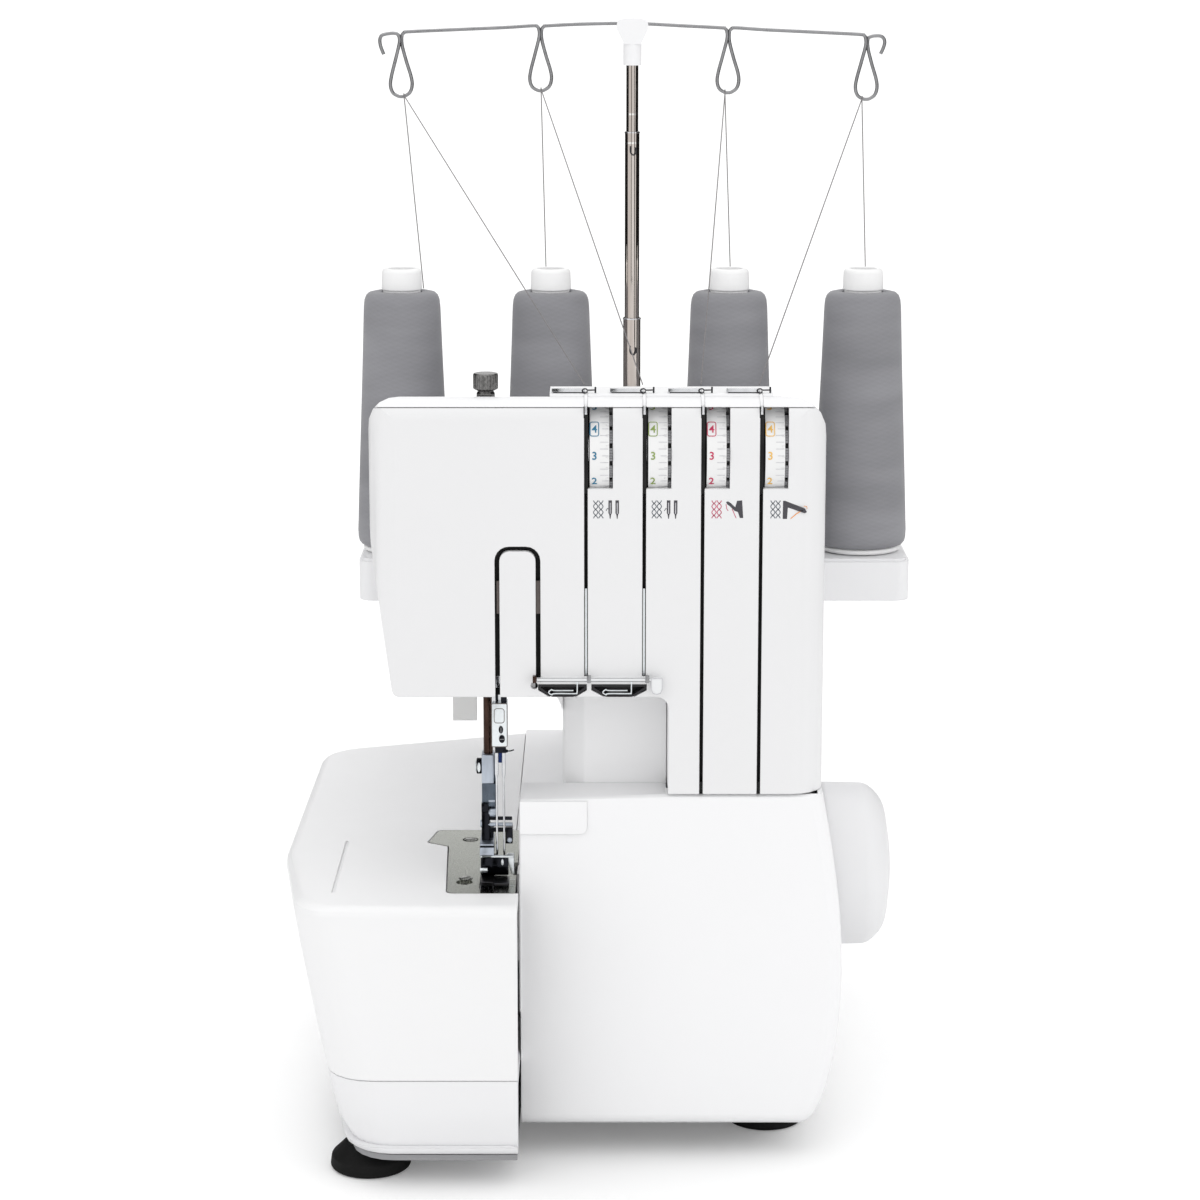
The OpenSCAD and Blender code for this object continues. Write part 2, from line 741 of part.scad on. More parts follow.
// Driving block with its stud high on the bar, and the needle clamp at the lower end
module needle_clamp() {
    color("silver")
        difference() {
            union() {
                prism_z(rounded([
                    [x_needle - 3.6, y_needle - 4.6, 0.8], [x_needle + 3.6, y_needle - 4.6, 0.8],
                    [x_needle + 3.6, y_needle + clamp_back, 0.8], [x_needle - 3.6, y_needle + clamp_back, 0.8],
                ], 3), clamp_z, clamp_z + clamp_h);
                box([x_needle - 3.6, y_needle - 4.4, stud_z - 4],
                    [x_needle + 5, y_needle + clamp_back, stud_z + 4]);
                bar_x(x_needle, x_needle + 11.5, y_needle, stud_z, 2);
            }
            bar_z(clamp_z + 5.8, boss_top, x_needle, y_needle, needle_bar_r + 0.02);
            for (s = [-1, 1])
                bar_z(clamp_z - 1, clamp_z + 5, x_needle + s * needle_pitch / 2, y_needle, 0.85);
            for (z = [2, 5])
                bar_y(y_needle - 6, y_needle, x_needle + 1.4, clamp_z + z + 1, 0.8);
            // Window in the face of the clamp
            box([x_needle - 2.3, y_needle - 5, clamp_z + 10.5], [x_needle + 2.3, y_needle - 3.8, clamp_z + 17.5]);
        }
}

module clamp_screws() {
    color("dimgray")
        for (z = [2.2, 6.2])
            difference() {
                bar_y(y_needle - 6, y_needle - 4.9, x_needle + 1.2, clamp_z + z + 1, 1.8);
                box([x_needle - 2, y_needle - 6.5, clamp_z + z + 0.7],
                    [x_needle + 5, y_needle - 5.5, clamp_z + z + 1.3]);
            }
}

module needles() {
    tip = deck_h + 5.5;
    color("silver")
        for (s = [-1, 1])
            translate([x_needle + s * needle_pitch / 2, y_needle, 0])
                rotate_extrude($fn = 24)
                    polygon([
                        [0, tip], [0.45, tip + 5], [0.45, clamp_z - 12], [0.8, clamp_z - 10],
                        [0.8, clamp_z + 4.8], [0, clamp_z + 4.8],
                    ]);
}

module needle_rocker() {
    arm_x = x_needle + 6.4;
    color("gray") {
        bar_x(x_presser - 11, frame_plates[1] + 8, rocker_y, rocker_z, rocker_r);
        translate([0, rocker_y, rocker_z])
            rotate([-rocker_rest, 0, 0])
                difference() {
                    union() {
                        bar_x(arm_x, arm_x + 4, 0, 0, 7.5);
                        prism_x([[0, -7], [0, 7], [-rocker_arm - 3.4, 4.6], [-rocker_arm - 3.4, -4.6]],
                            arm_x, arm_x + 4);
                    }
                    box([arm_x - 1, -rocker_arm - 8, -2.35], [arm_x + 5, -rocker_arm + 4, 2.35]);
                }
        // Crank lever at the column end, driven from the main shaft
        difference() {
            translate([0, rocker_y, rocker_z])
                rotate([-rocker_rest, 0, 0])
                    prism_x(rounded([
                        [-7, 8, 5], [7, 8, 5], [5, -20, 0], [5, -44, 4], [-5, -44, 4], [-5, -20, 0],
                    ], 4), frame_plates[0] + 12, frame_plates[0] + 17);
            translate([0, rocker_y, rocker_z])
                rotate([-rocker_rest, 0, 0])
                    bar_x(frame_plates[0] + 10, frame_plates[0] + 20, 0, -38, 2.2);
        }
    }
}

module presser_bar() {
    color("#6b5a4c") {
        bar_z(152, boss_top + 2, x_presser, y_presser, presser_bar_r);
        bar_z(boss_low + 24, boss_low + 28, x_presser, y_presser, 4.6);
    }
}

// Coil spring, drawn as a helix of the given wire
module coil(z0, z1, r, wire, turns) {
    steps = turns * 12;
    sides = 6;
    rings = [for (i = [0:steps])
        let(a = 360 * i / 12, z = z0 + wire + (z1 - z0 - 2 * wire) * i / steps)
        [for (k = [0:sides - 1])
            let(b = 360 * k / sides, d = r + wire * cos(b))
            [d * cos(a), d * sin(a), z - wire * sin(b)]]];
    loft(rings);
}

module presser_spring() {
    color("silver")
        translate([x_presser, y_presser, 0])
            coil(boss_low + 28.3, boss_top - 0.3, 3.75, 0.4, 9);
}

module presser_foot() {
    z0 = deck_h + face;
    x0 = x_needle - 8.2;
    x1 = x_needle + 5.8;
    y0 = y_needle - 21;
    y1 = y_needle + 22;
    color("silver")
        difference() {
            union() {
                // Sole with a turned-up toe
                prism_x(rounded([
                    [y0, z0 + 3.2, 0.8], [y0 + 7, z0, 6], [y1 - 3, z0, 4], [y1, z0 + 2, 1],
                    [y1, z0 + 3.4, 0.8], [y0 + 6, z0 + 3.2, 4], [y0 + 0.4, z0 + 5, 0.6],
                ], 4), x0, x1);
                // Ankle with its side cheeks
                prism_x(rounded([
                    [y_presser - 12, z0 + 2, 0], [y_presser - 8, z0 + 15, 3], [y_presser - 4.2, z0 + 25, 2],
                    [y_presser + 4.2, z0 + 25, 2], [y_presser + 8, z0 + 12, 3], [y_presser + 13, z0 + 2, 0],
                ]), x_presser - 2.6, x_presser + 1.4);
                // Shank clamped on the presser bar
                prism_z(rounded([
                    [x_presser - 2.7, y_presser - 4.2, 0.6], [x_presser + 2.5, y_presser - 4.2, 0.6],
                    [x_presser + 2.5, y_presser + 4.2, 0.6], [x_presser - 2.7, y_presser + 4.2, 0.6],
                ], 3), z0 + 24, 175);
            }
            bar_z(151.8, 180, x_presser, y_presser, presser_bar_r + 0.02);
            bar_x(x_presser - 5, x_presser - 2, y_presser, 164, 1.2);
            // Needle slot and stitch finger gap
            box([x_needle - 3.2, y_needle - 5, z0 - 1], [x_needle + 3.4, y_needle + 5, z0 + 8]);
            box([x_needle + 2.6, y_needle - 12, z0 - 1], [x_needle + 8, y_needle + 2, z0 + 8]);
            box([x0 - 1, y_presser - 3, z0 + 5], [x1 + 1, y_presser + 5, z0 + 9]);
        }
}

module foot_screw() {
    color("silver")
        difference() {
            union() {
                bar_x(x_presser - 5.2, x_presser - 3, y_presser, 164, 3.4);
                bar_x(x_presser - 4, x_presser - 2.15, y_presser, 164, 1.15);
            }
            box([x_presser - 6, y_presser - 4, 163.5], [x_presser - 4.5, y_presser + 4, 164.5]);
        }
}

screw_r = 2.6;

module pressure_screw() {
    color("silver")
        translate([x_presser, y_presser, 0])
            difference() {
                rotate_extrude()
                    polygon(rounded([
                        [0, boss_top + 10, 0], [screw_r, boss_top + 10, 0.4], [screw_r, boss_top + 27.3, 0],
                        [3.8, boss_top + 27.3, 0.3], [3.8, boss_top + 39.5, 0.6], [3.2, boss_top + 40.5, 0.2],
                        [5.2, boss_top + 41.5, 0.6], [5.2, boss_top + 48, 0.8], [0, boss_top + 48, 0],
                    ], 3));
                for (a = [0:15:345])
                    rotate([0, 0, a])
                        translate([5.5, 0, boss_top + 41])
                            cylinder(h = 8, r = 0.5, $fn = 16);
            }
}

lifter_x = -69.5;
lifter_y = 20;
lifter_z = head_under + 14;

module lifter_lever() {
    color("gainsboro") {
        bar_x(lifter_x - 5.5, lifter_x + 20, lifter_y, lifter_z, 3.5);
        prism_x(rounded([
            [lifter_y - 5, lifter_z + 4, 4], [lifter_y + 5, lifter_z + 4, 4], [lifter_y + 4, lifter_z - 30, 10],
            [lifter_y + 2, 160, 1.5], [lifter_y - 3, 160, 1.5], [lifter_y - 3, lifter_z - 30, 10],
        ], 4), lifter_x - 5.5, lifter_x + 5.5);
    }
}

// ---------- Stitch-forming works ----------

feed_x = x_needle - 5.8;
feed_z = deck_h - 16.8;

// Toothed bar of the feed dog
module feed_teeth(x, y0, y1) {
    n = floor((y1 - y0) / 1.6);
    top = deck_h - 0.4;
    prism_x(concat(
        [[y0, feed_z + 3]],
        [for (i = [0:n - 1]) each [[y0 + i * 1.6, top - 1], [y0 + i * 1.6 + 1.3, top]]],
        [[y0 + n * 1.6, top - 1], [y0 + n * 1.6, feed_z + 3]]
    ), x, x + 1.5);
}

feed_rows = [x_needle - 8.2, x_needle - 4.6];
feed_y = [y_needle - 14, y_needle + 10];

module feed_dog() {
    color("silver") {
        box([feed_x - 3, y_needle - 14, feed_z], [feed_x + 3, wall_y + 12, feed_z + 4]);
        for (x = feed_rows)
            feed_teeth(x, feed_y[0], feed_y[1]);
    }
}

module free_arm() {
    w = 2;
    x0 = -98;
    y0 = y_needle - 19;
    y1 = -40;
    top = deck_wall_z - 0.4;
    pad = deck_h - plate_t - face;
    color("whitesmoke")
        difference() {
            union() {
                prism_z(rounded([
                    [x_block - 3.4, y0, 0], [x0, y0, 14], [x0, y1, 8], [x_block - 3.4, y1, 0],
                ]), base_seam, top);
                prism_z(plate_outline(-1.2), top - 1, pad);
            }
            prism_z(rounded([
                [x_block, y0 + w, 0], [x0 + w, y0 + w, 12], [x0 + w, y1 - w, 6], [x_block, y1 - w, 0],
            ]), base_seam + w, top - w);
            box([x_needle - 11, y_needle - 17, top - w - 1], [x_block + 1, y_needle + 17, pad + 1]);
            for (p = plate_screw_xy)
                bar_z(top - w - 1, pad + 1, p.x, p.y, 1.6);
        }
}

// Plan of the needle plate; e grows it
function plate_outline(e) = rounded([
    [x_block - 1.4 + e, -125 - e, 0.5], [-71 - e, -125 - e, 3], [-73.5 - e, -58 - e, 1],
    [-83 - e, -52 - e, 2.5], [-79 - e, -slit_front - 0.6 + e, 3], [x_block - 1.4 + e, -slit_front - 0.6 + e, 0.5],
], 4);

plate_screw_xy = [[-64.4, -110], [-64.4, -48]];

module needle_plate() {
    color("silver")
        difference() {
            prism_z(plate_outline(0), deck_h - plate_t, deck_h);
            for (x = feed_rows)
                box([x - 0.5, feed_y[0] - 3, 0], [x + 2, feed_y[1] + 3, 200]);
            box([x_needle - needle_pitch / 2 - 1.2, y_needle - 1.4, 0],
                [x_needle + needle_pitch / 2 + 1.2, y_needle + 1.4, 200]);
            box([x_needle + 5.2, y_needle + 2, 0], [x_block + 1, y_needle + 20, 200]);
            for (p = plate_screw_xy) {
                bar_z(0, 200, p.x, p.y, 1.6);
                bar_z(deck_h - 1, 200, p.x, p.y, 3.5);
            }
        }
}

module plate_screws() {
    color("silver")
        for (p = plate_screw_xy)
            difference() {
                union() {
                    bar_z(deck_h - 0.8, deck_h + 0.4, p.x, p.y, 3.1);
                    bar_z(deck_h - 5, deck_h - 0.8, p.x, p.y, 1.3);
                }
                translate([p.x, p.y, 0]) rotate([0, 0, 40]) box([-4, -0.45, deck_h - 0.3], [4, 0.45, deck_h + 2]);
            }
}

module extension_table() {
    r = 5;
    color("white")
        difference() {
            loft(concat(
                [for (k = [0:4]) table_ring(base_seam + (deck_h - r - base_seam) * k / 4, 0)],
                [for (t = [30:30:90]) table_ring(deck_h - r * (1 - sin(t)), r * (1 - cos(t)))]
            ));
            loft([
                for (z = [base_seam - 1, (base_seam + deck_h) / 2, deck_wall_z])
                    [for (p = table_plan(z, shell_wall)) [p.x > x_block - 1 ? x_block + 1 : p.x, p.y, z]]
            ]);
            box([x_slit - seam, -slit_front - seam, 0], [0, 200, 200]);
            prism_z(concat([[x_block + 2, -125.5]], [for (p = plate_outline(0.5)) if (p.x < x_block - 2) p],
                [[x_block + 2, -slit_front]]), 100, 200);
            // Grip groove in the surface
            box([-119.5, -124, deck_h - 0.8], [-118.3, -50, deck_h + 1]);
        }
}

module lower_looper() {
    y = y_needle + 1.6;
    color("silver") {
        difference() {
            union() {
                translate([lower_pivot.x, 0, lower_pivot.y]) {
                    bar_y(y - 0.5, y + 4.5, 0, 0, 6);
                    prism_y([[-4, 3], [4, 3], [9, 47.6], [3, 48.6]], y, y + 1.5);
                }
                blade(lower_pivot, 46.5, 50, 74, 96, y, 1.5);
            }
            bar_y(y - 2, y + 6, lower_pivot.x, lower_pivot.y, 1);
        }
        bar_y(y + 4.4, wall_y + 14, lower_pivot.x, lower_pivot.y, 4);
    }
}

// Curved looper blade: part of a ring about the pivot that tapers to its point
module blade(c, r0, r1, a0, a1, y, t) {
    n = 8;
    prism_y(concat(
        [for (i = [0:n]) let(a = a0 + (a1 - a0) * i / n) [c.x + r1 * cos(a), c.y + r1 * sin(a)]],
        [for (i = [n:-1:0]) let(a = a0 + (a1 - a0) * i / n, r = r0 + (r1 - r0) * (i / n) * 0.7)
            [c.x + r * cos(a), c.y + r * sin(a)]]
    ), y, y + t);
}

module upper_looper() {
    y = y_needle - 3.6;
    color("silver") {
        translate([upper_pivot.x, 0, upper_pivot.y]) {
            bar_y(y - 0.5, y + 5, 0, 0, 6);
            prism_y([[-4, 3], [4, 3], [19, 68], [12, 70]], y, y + 1.6);
        }
        blade(upper_pivot, 69, 73.4, 75, 99, y, 1.6);
        bar_y(y + 4.9, wall_y + 14, upper_pivot.x, upper_pivot.y, 4);
    }
}

knife_y = [y_needle + 4, y_needle + 18];

module lower_knife() {
    color("silver") {
        prism_x([[knife_y[0], 98], [knife_y[1], 98], [knife_y[1], deck_h - 0.6], [knife_y[0], deck_h - 0.2]],
            x_block - 1.2, x_block + 0.1);
        box([x_block - 2.2, knife_y[0], 84], [x_block + 9.8, knife_y[0] + 9, 99]);
        box([x_block + 5.4, knife_y[0], 84], [x_block + 9.8, wall_y - face, 99]);
    }
}

module upper_knife() {
    color("silver")
        difference() {
            union() {
                prism_x([[knife_y[0], deck_h + 3], [knife_y[1], deck_h + 1.4], [knife_y[1], 144], [knife_y[0], 144]],
                    x_block + 0.3, x_block + 1.7);
                box([x_block + 0.3, knife_y[0] + 6, 134], [x_block + 4.6, wall_y - face, 144]);
                box([x_block + 0.6, wall_y - 12, 94], [x_block + 4.6, wall_y - face, 144]);
            }
            bar_x(x_block - 1, x_block + 6, knife_y[0] + 9, 139, 1.6);
        }
}

// ---------- Threading ----------

ear_off = 12.3;
axle_r = 3;

module tension_bracket() {
    color("silver") {
        box([slot_x(0) - 11.8, wall_y + 4, 283], [slot_x(3) + ear_off + 2, wall_y + 6, 316]);
        for (i = [-1:3])
            prism_x(rounded([
                [wall_y + 5, 296, 0], [wall_y + 5, 315, 0], [dial_y - 6, dial_axis_z + 5, 4],
                [dial_y - 6, dial_axis_z - 6, 4],
            ]), slot_x(i) + ear_off, slot_x(i) + ear_off + 2);
        for (i = [0:3])
            bar_x(slot_x(i) - tension_pitch + ear_off + 1, slot_x(i) + ear_off + 1, dial_y, dial_axis_z, axle_r);
    }
}

module tension_discs() {
    color("silver")
        for (i = [0:3], s = [-1, 1])
            translate([slot_x(i), dial_y, dial_axis_z])
                rotate([0, 90 * s, 0])
                    rotate_extrude()
                        polygon([[axle_r + 0.2, 0.5], [5.5, 0.3], [9, 0.9], [9, 1.3], [5.4, 0.8], [axle_r + 0.2, 1]]);
}

module tension_dial(i) {
    x0 = slot_x(i) + 1.6;
    color("white")
        difference() {
            bar_x(x0, x0 + dial_w, dial_y, dial_axis_z, dial_r);
            bar_x(x0 - 1, x0 + dial_w + 1, dial_y, dial_axis_z, axle_r + run_fit);
            difference() {
                bar_x(x0 + 3, x0 + dial_w + 1, dial_y, dial_axis_z, dial_r - 3);
                bar_x(x0, x0 + dial_w + 1, dial_y, dial_axis_z, axle_r + 3);
            }
            // Knurled edge beside the scale
            for (a = [0:12:348])
                translate([0, dial_y, dial_axis_z])
                    rotate([a, 0, 0])
                        bar_x(x0 + dial_w - 1.4, x0 + dial_w + 1, dial_r + 0.3, 0, 0.7);
        }
}

module thread_guides() {
    z = rail_top + 1.7;
    y = rail_y - 1;
    color("silver")
        for (i = [0:3]) {
            x0 = slot_x(i) - 13;
            x1 = slot_x(i) + 4.3;
            rod([x0, y, z], [x1, y, z], 0.7);
            for (x = [x0, x1])
                rod([x, y, rail_top + 0.2], [x, y, z], 0.7);
            translate([slot_x(i) - 0.6, y, z])
                rotate_extrude($fn = 24)
                    translate([2, 0])
                        circle(r = 0.6, $fn = 16);
        }
}

// Guide bar under the first two slots with a hook before each cup
post_x = [x_crease - 56, x_crease - 4.6];

module guide_posts(e)
    for (x = post_x)
        bar_y(y_front - 2.2, y_front + 2.6, x, head_under + 4.9, 1.4 + e);

module needle_thread_guide() {
    y = y_front - 0.9;
    z = head_under + 1.9;
    color("silver") {
        box([x_crease - 57.8, y_front - 4, head_under + 3.2], [x_crease - 1.9, y_front - 2, head_under + 6.4]);
        guide_posts(0);
        bar_y(y_front - 5.4, y_front - 0.3, x_crease - 4.6, head_under + 3.6, 3.6);
        for (k = [0:1]) {
            x0 = x_crease - 50.5 + k * 22.6;
            rod([x0, y, z], [x0 + 12, y, z], 0.45);
            rod([x0 + 12, y, z], [x0 + 12, y_front - 2.5, z + 3], 0.45);
        }
    }
}

// ---------- Looper cover ----------

cover_left = x_block + 0.4;

function cover_outline(e) = concat(
    [[cover_left, edge_h + e], [cover_left, cover_seam - seam - 2.2]],
    [[x_crease, cover_seam - seam - e * 0.3]],
    [for (p = side_curve(e)) [p.x, min(p.y, cover_seam - seam - e * 0.3)]]
);

module front_cover() {
    r = 6;
    top = cover_seam - seam;
    color("white")
        difference() {
            union() {
                difference() {
                    loft([
                        for (t = [90:-22.5:0]) let(y = y_front + r - r * sin(t), e = r - r * cos(t))
                            [for (p = cover_outline(e)) [p.x, y, p.y]],
                        [for (p = cover_outline(0)) [p.x, hinge_y + 1.7, p.y]],
                    ]);
                    prism_y(concat(
                        [[cover_left - 1, edge_h + shell_wall], [cover_left - 1, cover_seam + 5],
                         [x_right - shell_wall, cover_seam + 5]],
                        [for (p = side_curve(shell_wall)) if (p.y < cover_seam) p]
                    ), y_front + shell_wall, 0);
                    box([cover_left - 1, y_front + 5, 0], [foot_in_x, 0, edge_h + shell_wall + 4]);
                }
                // Top flange that reaches back to the column panel
                box([cover_left, y_front + 2, top - shell_wall - 2.2], [x_crease - seam, y_front + 26.7, top - 2.2]);
                box([x_crease - 1, y_front + 2, top - shell_wall - 0.3], [x_right - 8, hinge_y + 1.7, top - 0.3]);
                // Finger tab
                prism_y(rounded([
                    [cover_left, top - 17, 0], [cover_left, top - 2.6, 0], [cover_left + 28.4, top - 2.6, 0],
                    [cover_left + 28.4, top - 17, 3],
                ]), y_front - 1.2, y_front + 1);
                // Hinge lugs
                for (x = lug_x) {
                    bar_x(x, x + 6, hinge_y, hinge_z, 3.6);
                    box([x, y_front + 1.5, hinge_z - 1], [x + 6, hinge_y, hinge_z + 3.6]);
                }
            }
            bar_x(-80, 100, hinge_y, hinge_z, rod_r + run_fit);
        }
}

lug_x = [x_block + 14, 56];

module cover_hinge_rod() {
    color("silver")
        bar_x(ear_x[0] - 2.4, ear_x[1] + 5, hinge_y, hinge_z, rod_r);
}

// ---------- Controls on the right side ----------

dial_z = 100;
side_dial_r = 15;
stitch_y = 20;
feed_dial_y = 62;
switch_y = rear_reach - 43;
switch_z = 60;
inlet_y = rear_reach - 21;

module side_dial(y) {
    x0 = x_right + 0.5;
    color("whitesmoke")
        difference() {
            translate([x0, y, dial_z])
                rotate([0, 90, 0])
                    rotate_extrude()
                        polygon(rounded([
                            [0, 0, 0], [side_dial_r, 0, 0], [side_dial_r, 15, 1.5], [side_dial_r - 3, 17, 1],
                            [0, 17, 0],
                        ], 3));
            // Finger bar across the face
            for (s = [-1, 1])
                translate([x0 + 13, y, dial_z])
                    rotate([20, 0, 0])
                        box([0, min(s * 3, s * 20), -side_dial_r + 4], [8, max(s * 3, s * 20), side_dial_r - 4]);
        }
}

module power_switch() {
    color("#202020")
        translate([x_right + 5.5, switch_y, switch_z])
            rotate([0, 6, 0])
                prism_y(rounded([[-3, -10, 1], [3.4, -10, 1], [2.6, 0, 8], [3.4, 10, 1], [-3, 10, 1]], 3), -5.2, 5.2);
    // Pivot pin of the rocker
    color("#202020")
        bar_y(switch_y - 5.9, switch_y + 5.9, x_right + 2.7, switch_z, 2);
}

module inlet_socket() {
    x0 = x_right - 12;
    color("#202020") {
        difference() {
            box([x0, inlet_y - 11.4, switch_z - 9.4], [x_right + 7, inlet_y + 11.4, switch_z + 9.4]);
            box([x0 + 3, inlet_y - 9, switch_z - 7], [x_right + 9, inlet_y + 9, switch_z + 7]);
        }
        for (s = [-1, 1])
            bar_x(x0 + 1, x_right + 3, inlet_y + s * 4, switch_z, 1.2);
    }
}

// ---------- Spool stand ----------

module stand_plan(e, z0, z1)
    prism_z(rounded([
        [stand_right - stand_w + e, stand_y + e, 7 - e], [stand_right - e, stand_y + e, 7 - e],
        [stand_right - e, stand_y + stand_d - e, 7 - e], [stand_right - stand_w + e, stand_y + stand_d - e, 7 - e],
    ]), z0, z1);

module spool_stand() {
    z0 = stand_top - stand_h;
    color("white")
        difference() {
            union() {
                difference() {
                    union() {
                        stand_plan(0, z0, stand_top - 1.5);
                        stand_plan(1.5, z0, stand_top);
                    }
                    stand_plan(shell_wall, z0 - 1, stand_top - shell_wall);
                }
                bar_z(z0, stand_top + 3, mast_x, mast_y, 7);
                for (x = cone_x)
                    bar_z(z0, stand_top - 1, x, mast_y, 6);
                for (x = [-60, 30, 85])
                    box([x - 1, stand_y + 1, z0], [x + 1, stand_y + stand_d - 1, stand_top - 1]);
            }
            bar_z(z0 + 2, stand_top + 5, mast_x, mast_y, mast_r + 1.32);
            for (x = cone_x)
                bar_z(z0 - 1, stand_top + 5, x, mast_y, 2.06);
        }
}

module spool_pins() {
    color("whitesmoke")
        for (x = cone_x)
            translate([x, mast_y, 0])
                rotate_extrude()
                    polygon(rounded([
                        [0, stand_top - 14, 0], [2, stand_top - 14, 0.4], [2, stand_top + 0.3, 0],
                        [2.8, stand_top + 0.3, 0], [2.8, stand_top + 76, 0.2], [1.6, stand_top + 80, 0.8],
                        [0, stand_top + 80, 0],
                    ], 3));
}

cone_z = stand_top + 3.3;

module cone_cores() {
    top = cone_z + cone_h;
    color("whitesmoke")
        for (x = cone_x)
            translate([x, mast_y, 0])
                rotate_extrude()
                    polygon(rounded([
                        [3.2, stand_top + 0.3, 0], [cone_r - 2, stand_top + 0.3, 1.4], [cone_r - 3, cone_z - 0.3, 0.8],
                        [15, cone_z - 0.3, 0.6], [9, top - 2, 0.3], [9, top + 0.5, 0.2], [9.8, top + 1, 0.4],
                        [9.4, top + 11, 2], [6.4, top + 11, 0.5], [6.4, top + 4, 0.5], [3.2, top - 30, 0],
                    ], 3));
}

module thread_cones() {
    color("gray")
        for (x = cone_x)
            translate([x, mast_y, cone_z])
                rotate_extrude()
                    polygon(rounded([
                        [15.5, 0.5, 0], [cone_r - 2, 0, 2], [cone_r, 7, 5], [cone_r - 0.6, 18, 20],
                        [cone_top_r, cone_h - 9, 30], [cone_top_r - 0.9, cone_h - 1, 5], [10, cone_h, 1],
                        [9.6, cone_h - 2, 0],
                    ], 4));
}

mast_split = [335.6, 425];
tube_gap = 0.08;
mid_r = mast_r + tube_gap + 0.52;
low_r = mid_r + tube_gap + 0.62;

module mast_lower() {
    color("silver")
        difference() {
            bar_z(stand_top - stand_h + 2.3, mast_split[0], mast_x, mast_y, low_r);
            bar_z(stand_top - stand_h + 6, mast_split[0] + 1, mast_x, mast_y, mid_r + tube_gap);
        }
}

module mast_middle() {
    color("silver")
        difference() {
            bar_z(mast_split[0] - 36, mast_split[1], mast_x, mast_y, mid_r);
            bar_z(mast_split[0] - 37, mast_split[1] + 1, mast_x, mast_y, mast_r + tube_gap);
        }
}

module mast_upper() {
    z1 = mast_top + 20.5;
    color("silver") {
        bar_z(mast_split[1] - 40, mast_top + 4, mast_x, mast_y, mast_r);
        // Cap that holds the guide wire
        difference() {
            union() {
                bar_z(mast_top - 1.4, z1 - 6, mast_x, mast_y, 4.3);
                prism_y(rounded([
                    [mast_x - 4, z1 - 12, 0], [mast_x + 4, z1 - 12, 0], [mast_x + 7.4, z1 - 5, 2],
                    [mast_x + 7.4, z1 - 1, 2], [mast_x + 3, z1, 1], [mast_x - 3, z1, 1],
                    [mast_x - 7.4, z1 - 1, 2], [mast_x - 7.4, z1 - 5, 2],
                ], 3), mast_y - 4.3, mast_y + 4.3);
            }
            bar_x(mast_x - 40, mast_x + 40, mast_y, wire_z(mast_x - 8), wire_r + 0.08);
        }
    }
}

wire_mid_z = mast_top + 16.9;
wire_fall = 0.0433;
function wire_z(x) = wire_mid_z - max(8, abs(x - mast_x)) * wire_fall;

// Wire along a path of points that bends only about the direction ref
module wire(path, r, ref, sides = 8, closed = false) {
    n = len(path);
    loft([for (i = [0:n - 1])
        let(
            q = closed ? path[(i + 1) % n] : path[min(i + 1, n - 1)],
            p = closed ? path[(i + n - 1) % n] : path[max(i - 1, 0)],
            t = (q - p) / norm(q - p), w = cross(ref, t), u = w / norm(w), v = cross(t, u)
        )
        [for (k = [0:sides - 1]) path[i] + r * (cos(360 * k / sides) * u + sin(360 * k / sides) * v)]],
        closed);
}

// Closed loop of wire that hangs from the bar at x on a short neck
module eyelet(x) {
    z1 = wire_z(x) - 3.5;
    h = z1 - eyelet_low - wire_r;
    wire([for (a = [0:15:345])
        [x + 5.8 * sin(a) * (0.85 - 0.15 * cos(a)), mast_y, z1 - h * (1 - cos(a)) / 2]],
        wire_r, [0, 1, 0], 8, true);
    bar_z(z1 - 0.4, z1 + 3.2, x, mast_y, wire_r * 0.8);
}

wire_ends = [-111.5, 127.9];

module guide_wire() {
    color("gray") {
        wire([
            for (k = [[0, 4.6, -7.5], [0, 3.4, -3], [0, 1.6, -0.6], [0, 0, 0]])
                [wire_ends[0] - k.y, mast_y, wire_z(wire_ends[0]) + k.z],
            [mast_x - 8, mast_y, wire_z(mast_x - 8)], [mast_x + 8, mast_y, wire_z(mast_x + 8)],
            for (k = [[0, 0, 0], [0, 1.6, -0.6], [0, 3.4, -3], [0, 4.6, -7.5]])
                [wire_ends[1] + k.y, mast_y, wire_z(wire_ends[1]) + k.z],
        ], wire_r, [0, 1, 0]);
        for (x = eyelet_x)
            eyelet(x);
    }
}

// Thread from each cone over its eyelet to the guides on the head
module threads() {
    color("gray")
        for (i = [0:3])
            wire([
                [cone_x[i] + 8, mast_y + 11, cone_z + cone_h + 0.6],
                [eyelet_x[i], mast_y + 2.2, eyelet_low + 0.4],
                [eyelet_x[i], mast_y + 1.4, eyelet_low + 2.6],
                [eyelet_x[i], mast_y - 1.4, eyelet_low + 2.6],
                [eyelet_x[i], mast_y - 2.2, eyelet_low + 0.4],
                [slot_x(i) - 0.6, rail_y + 0.4, rail_top + 3.2],
            ], thread_d / 2, [1, 0, 0], 6);
}

// ---------- Assembly ----------

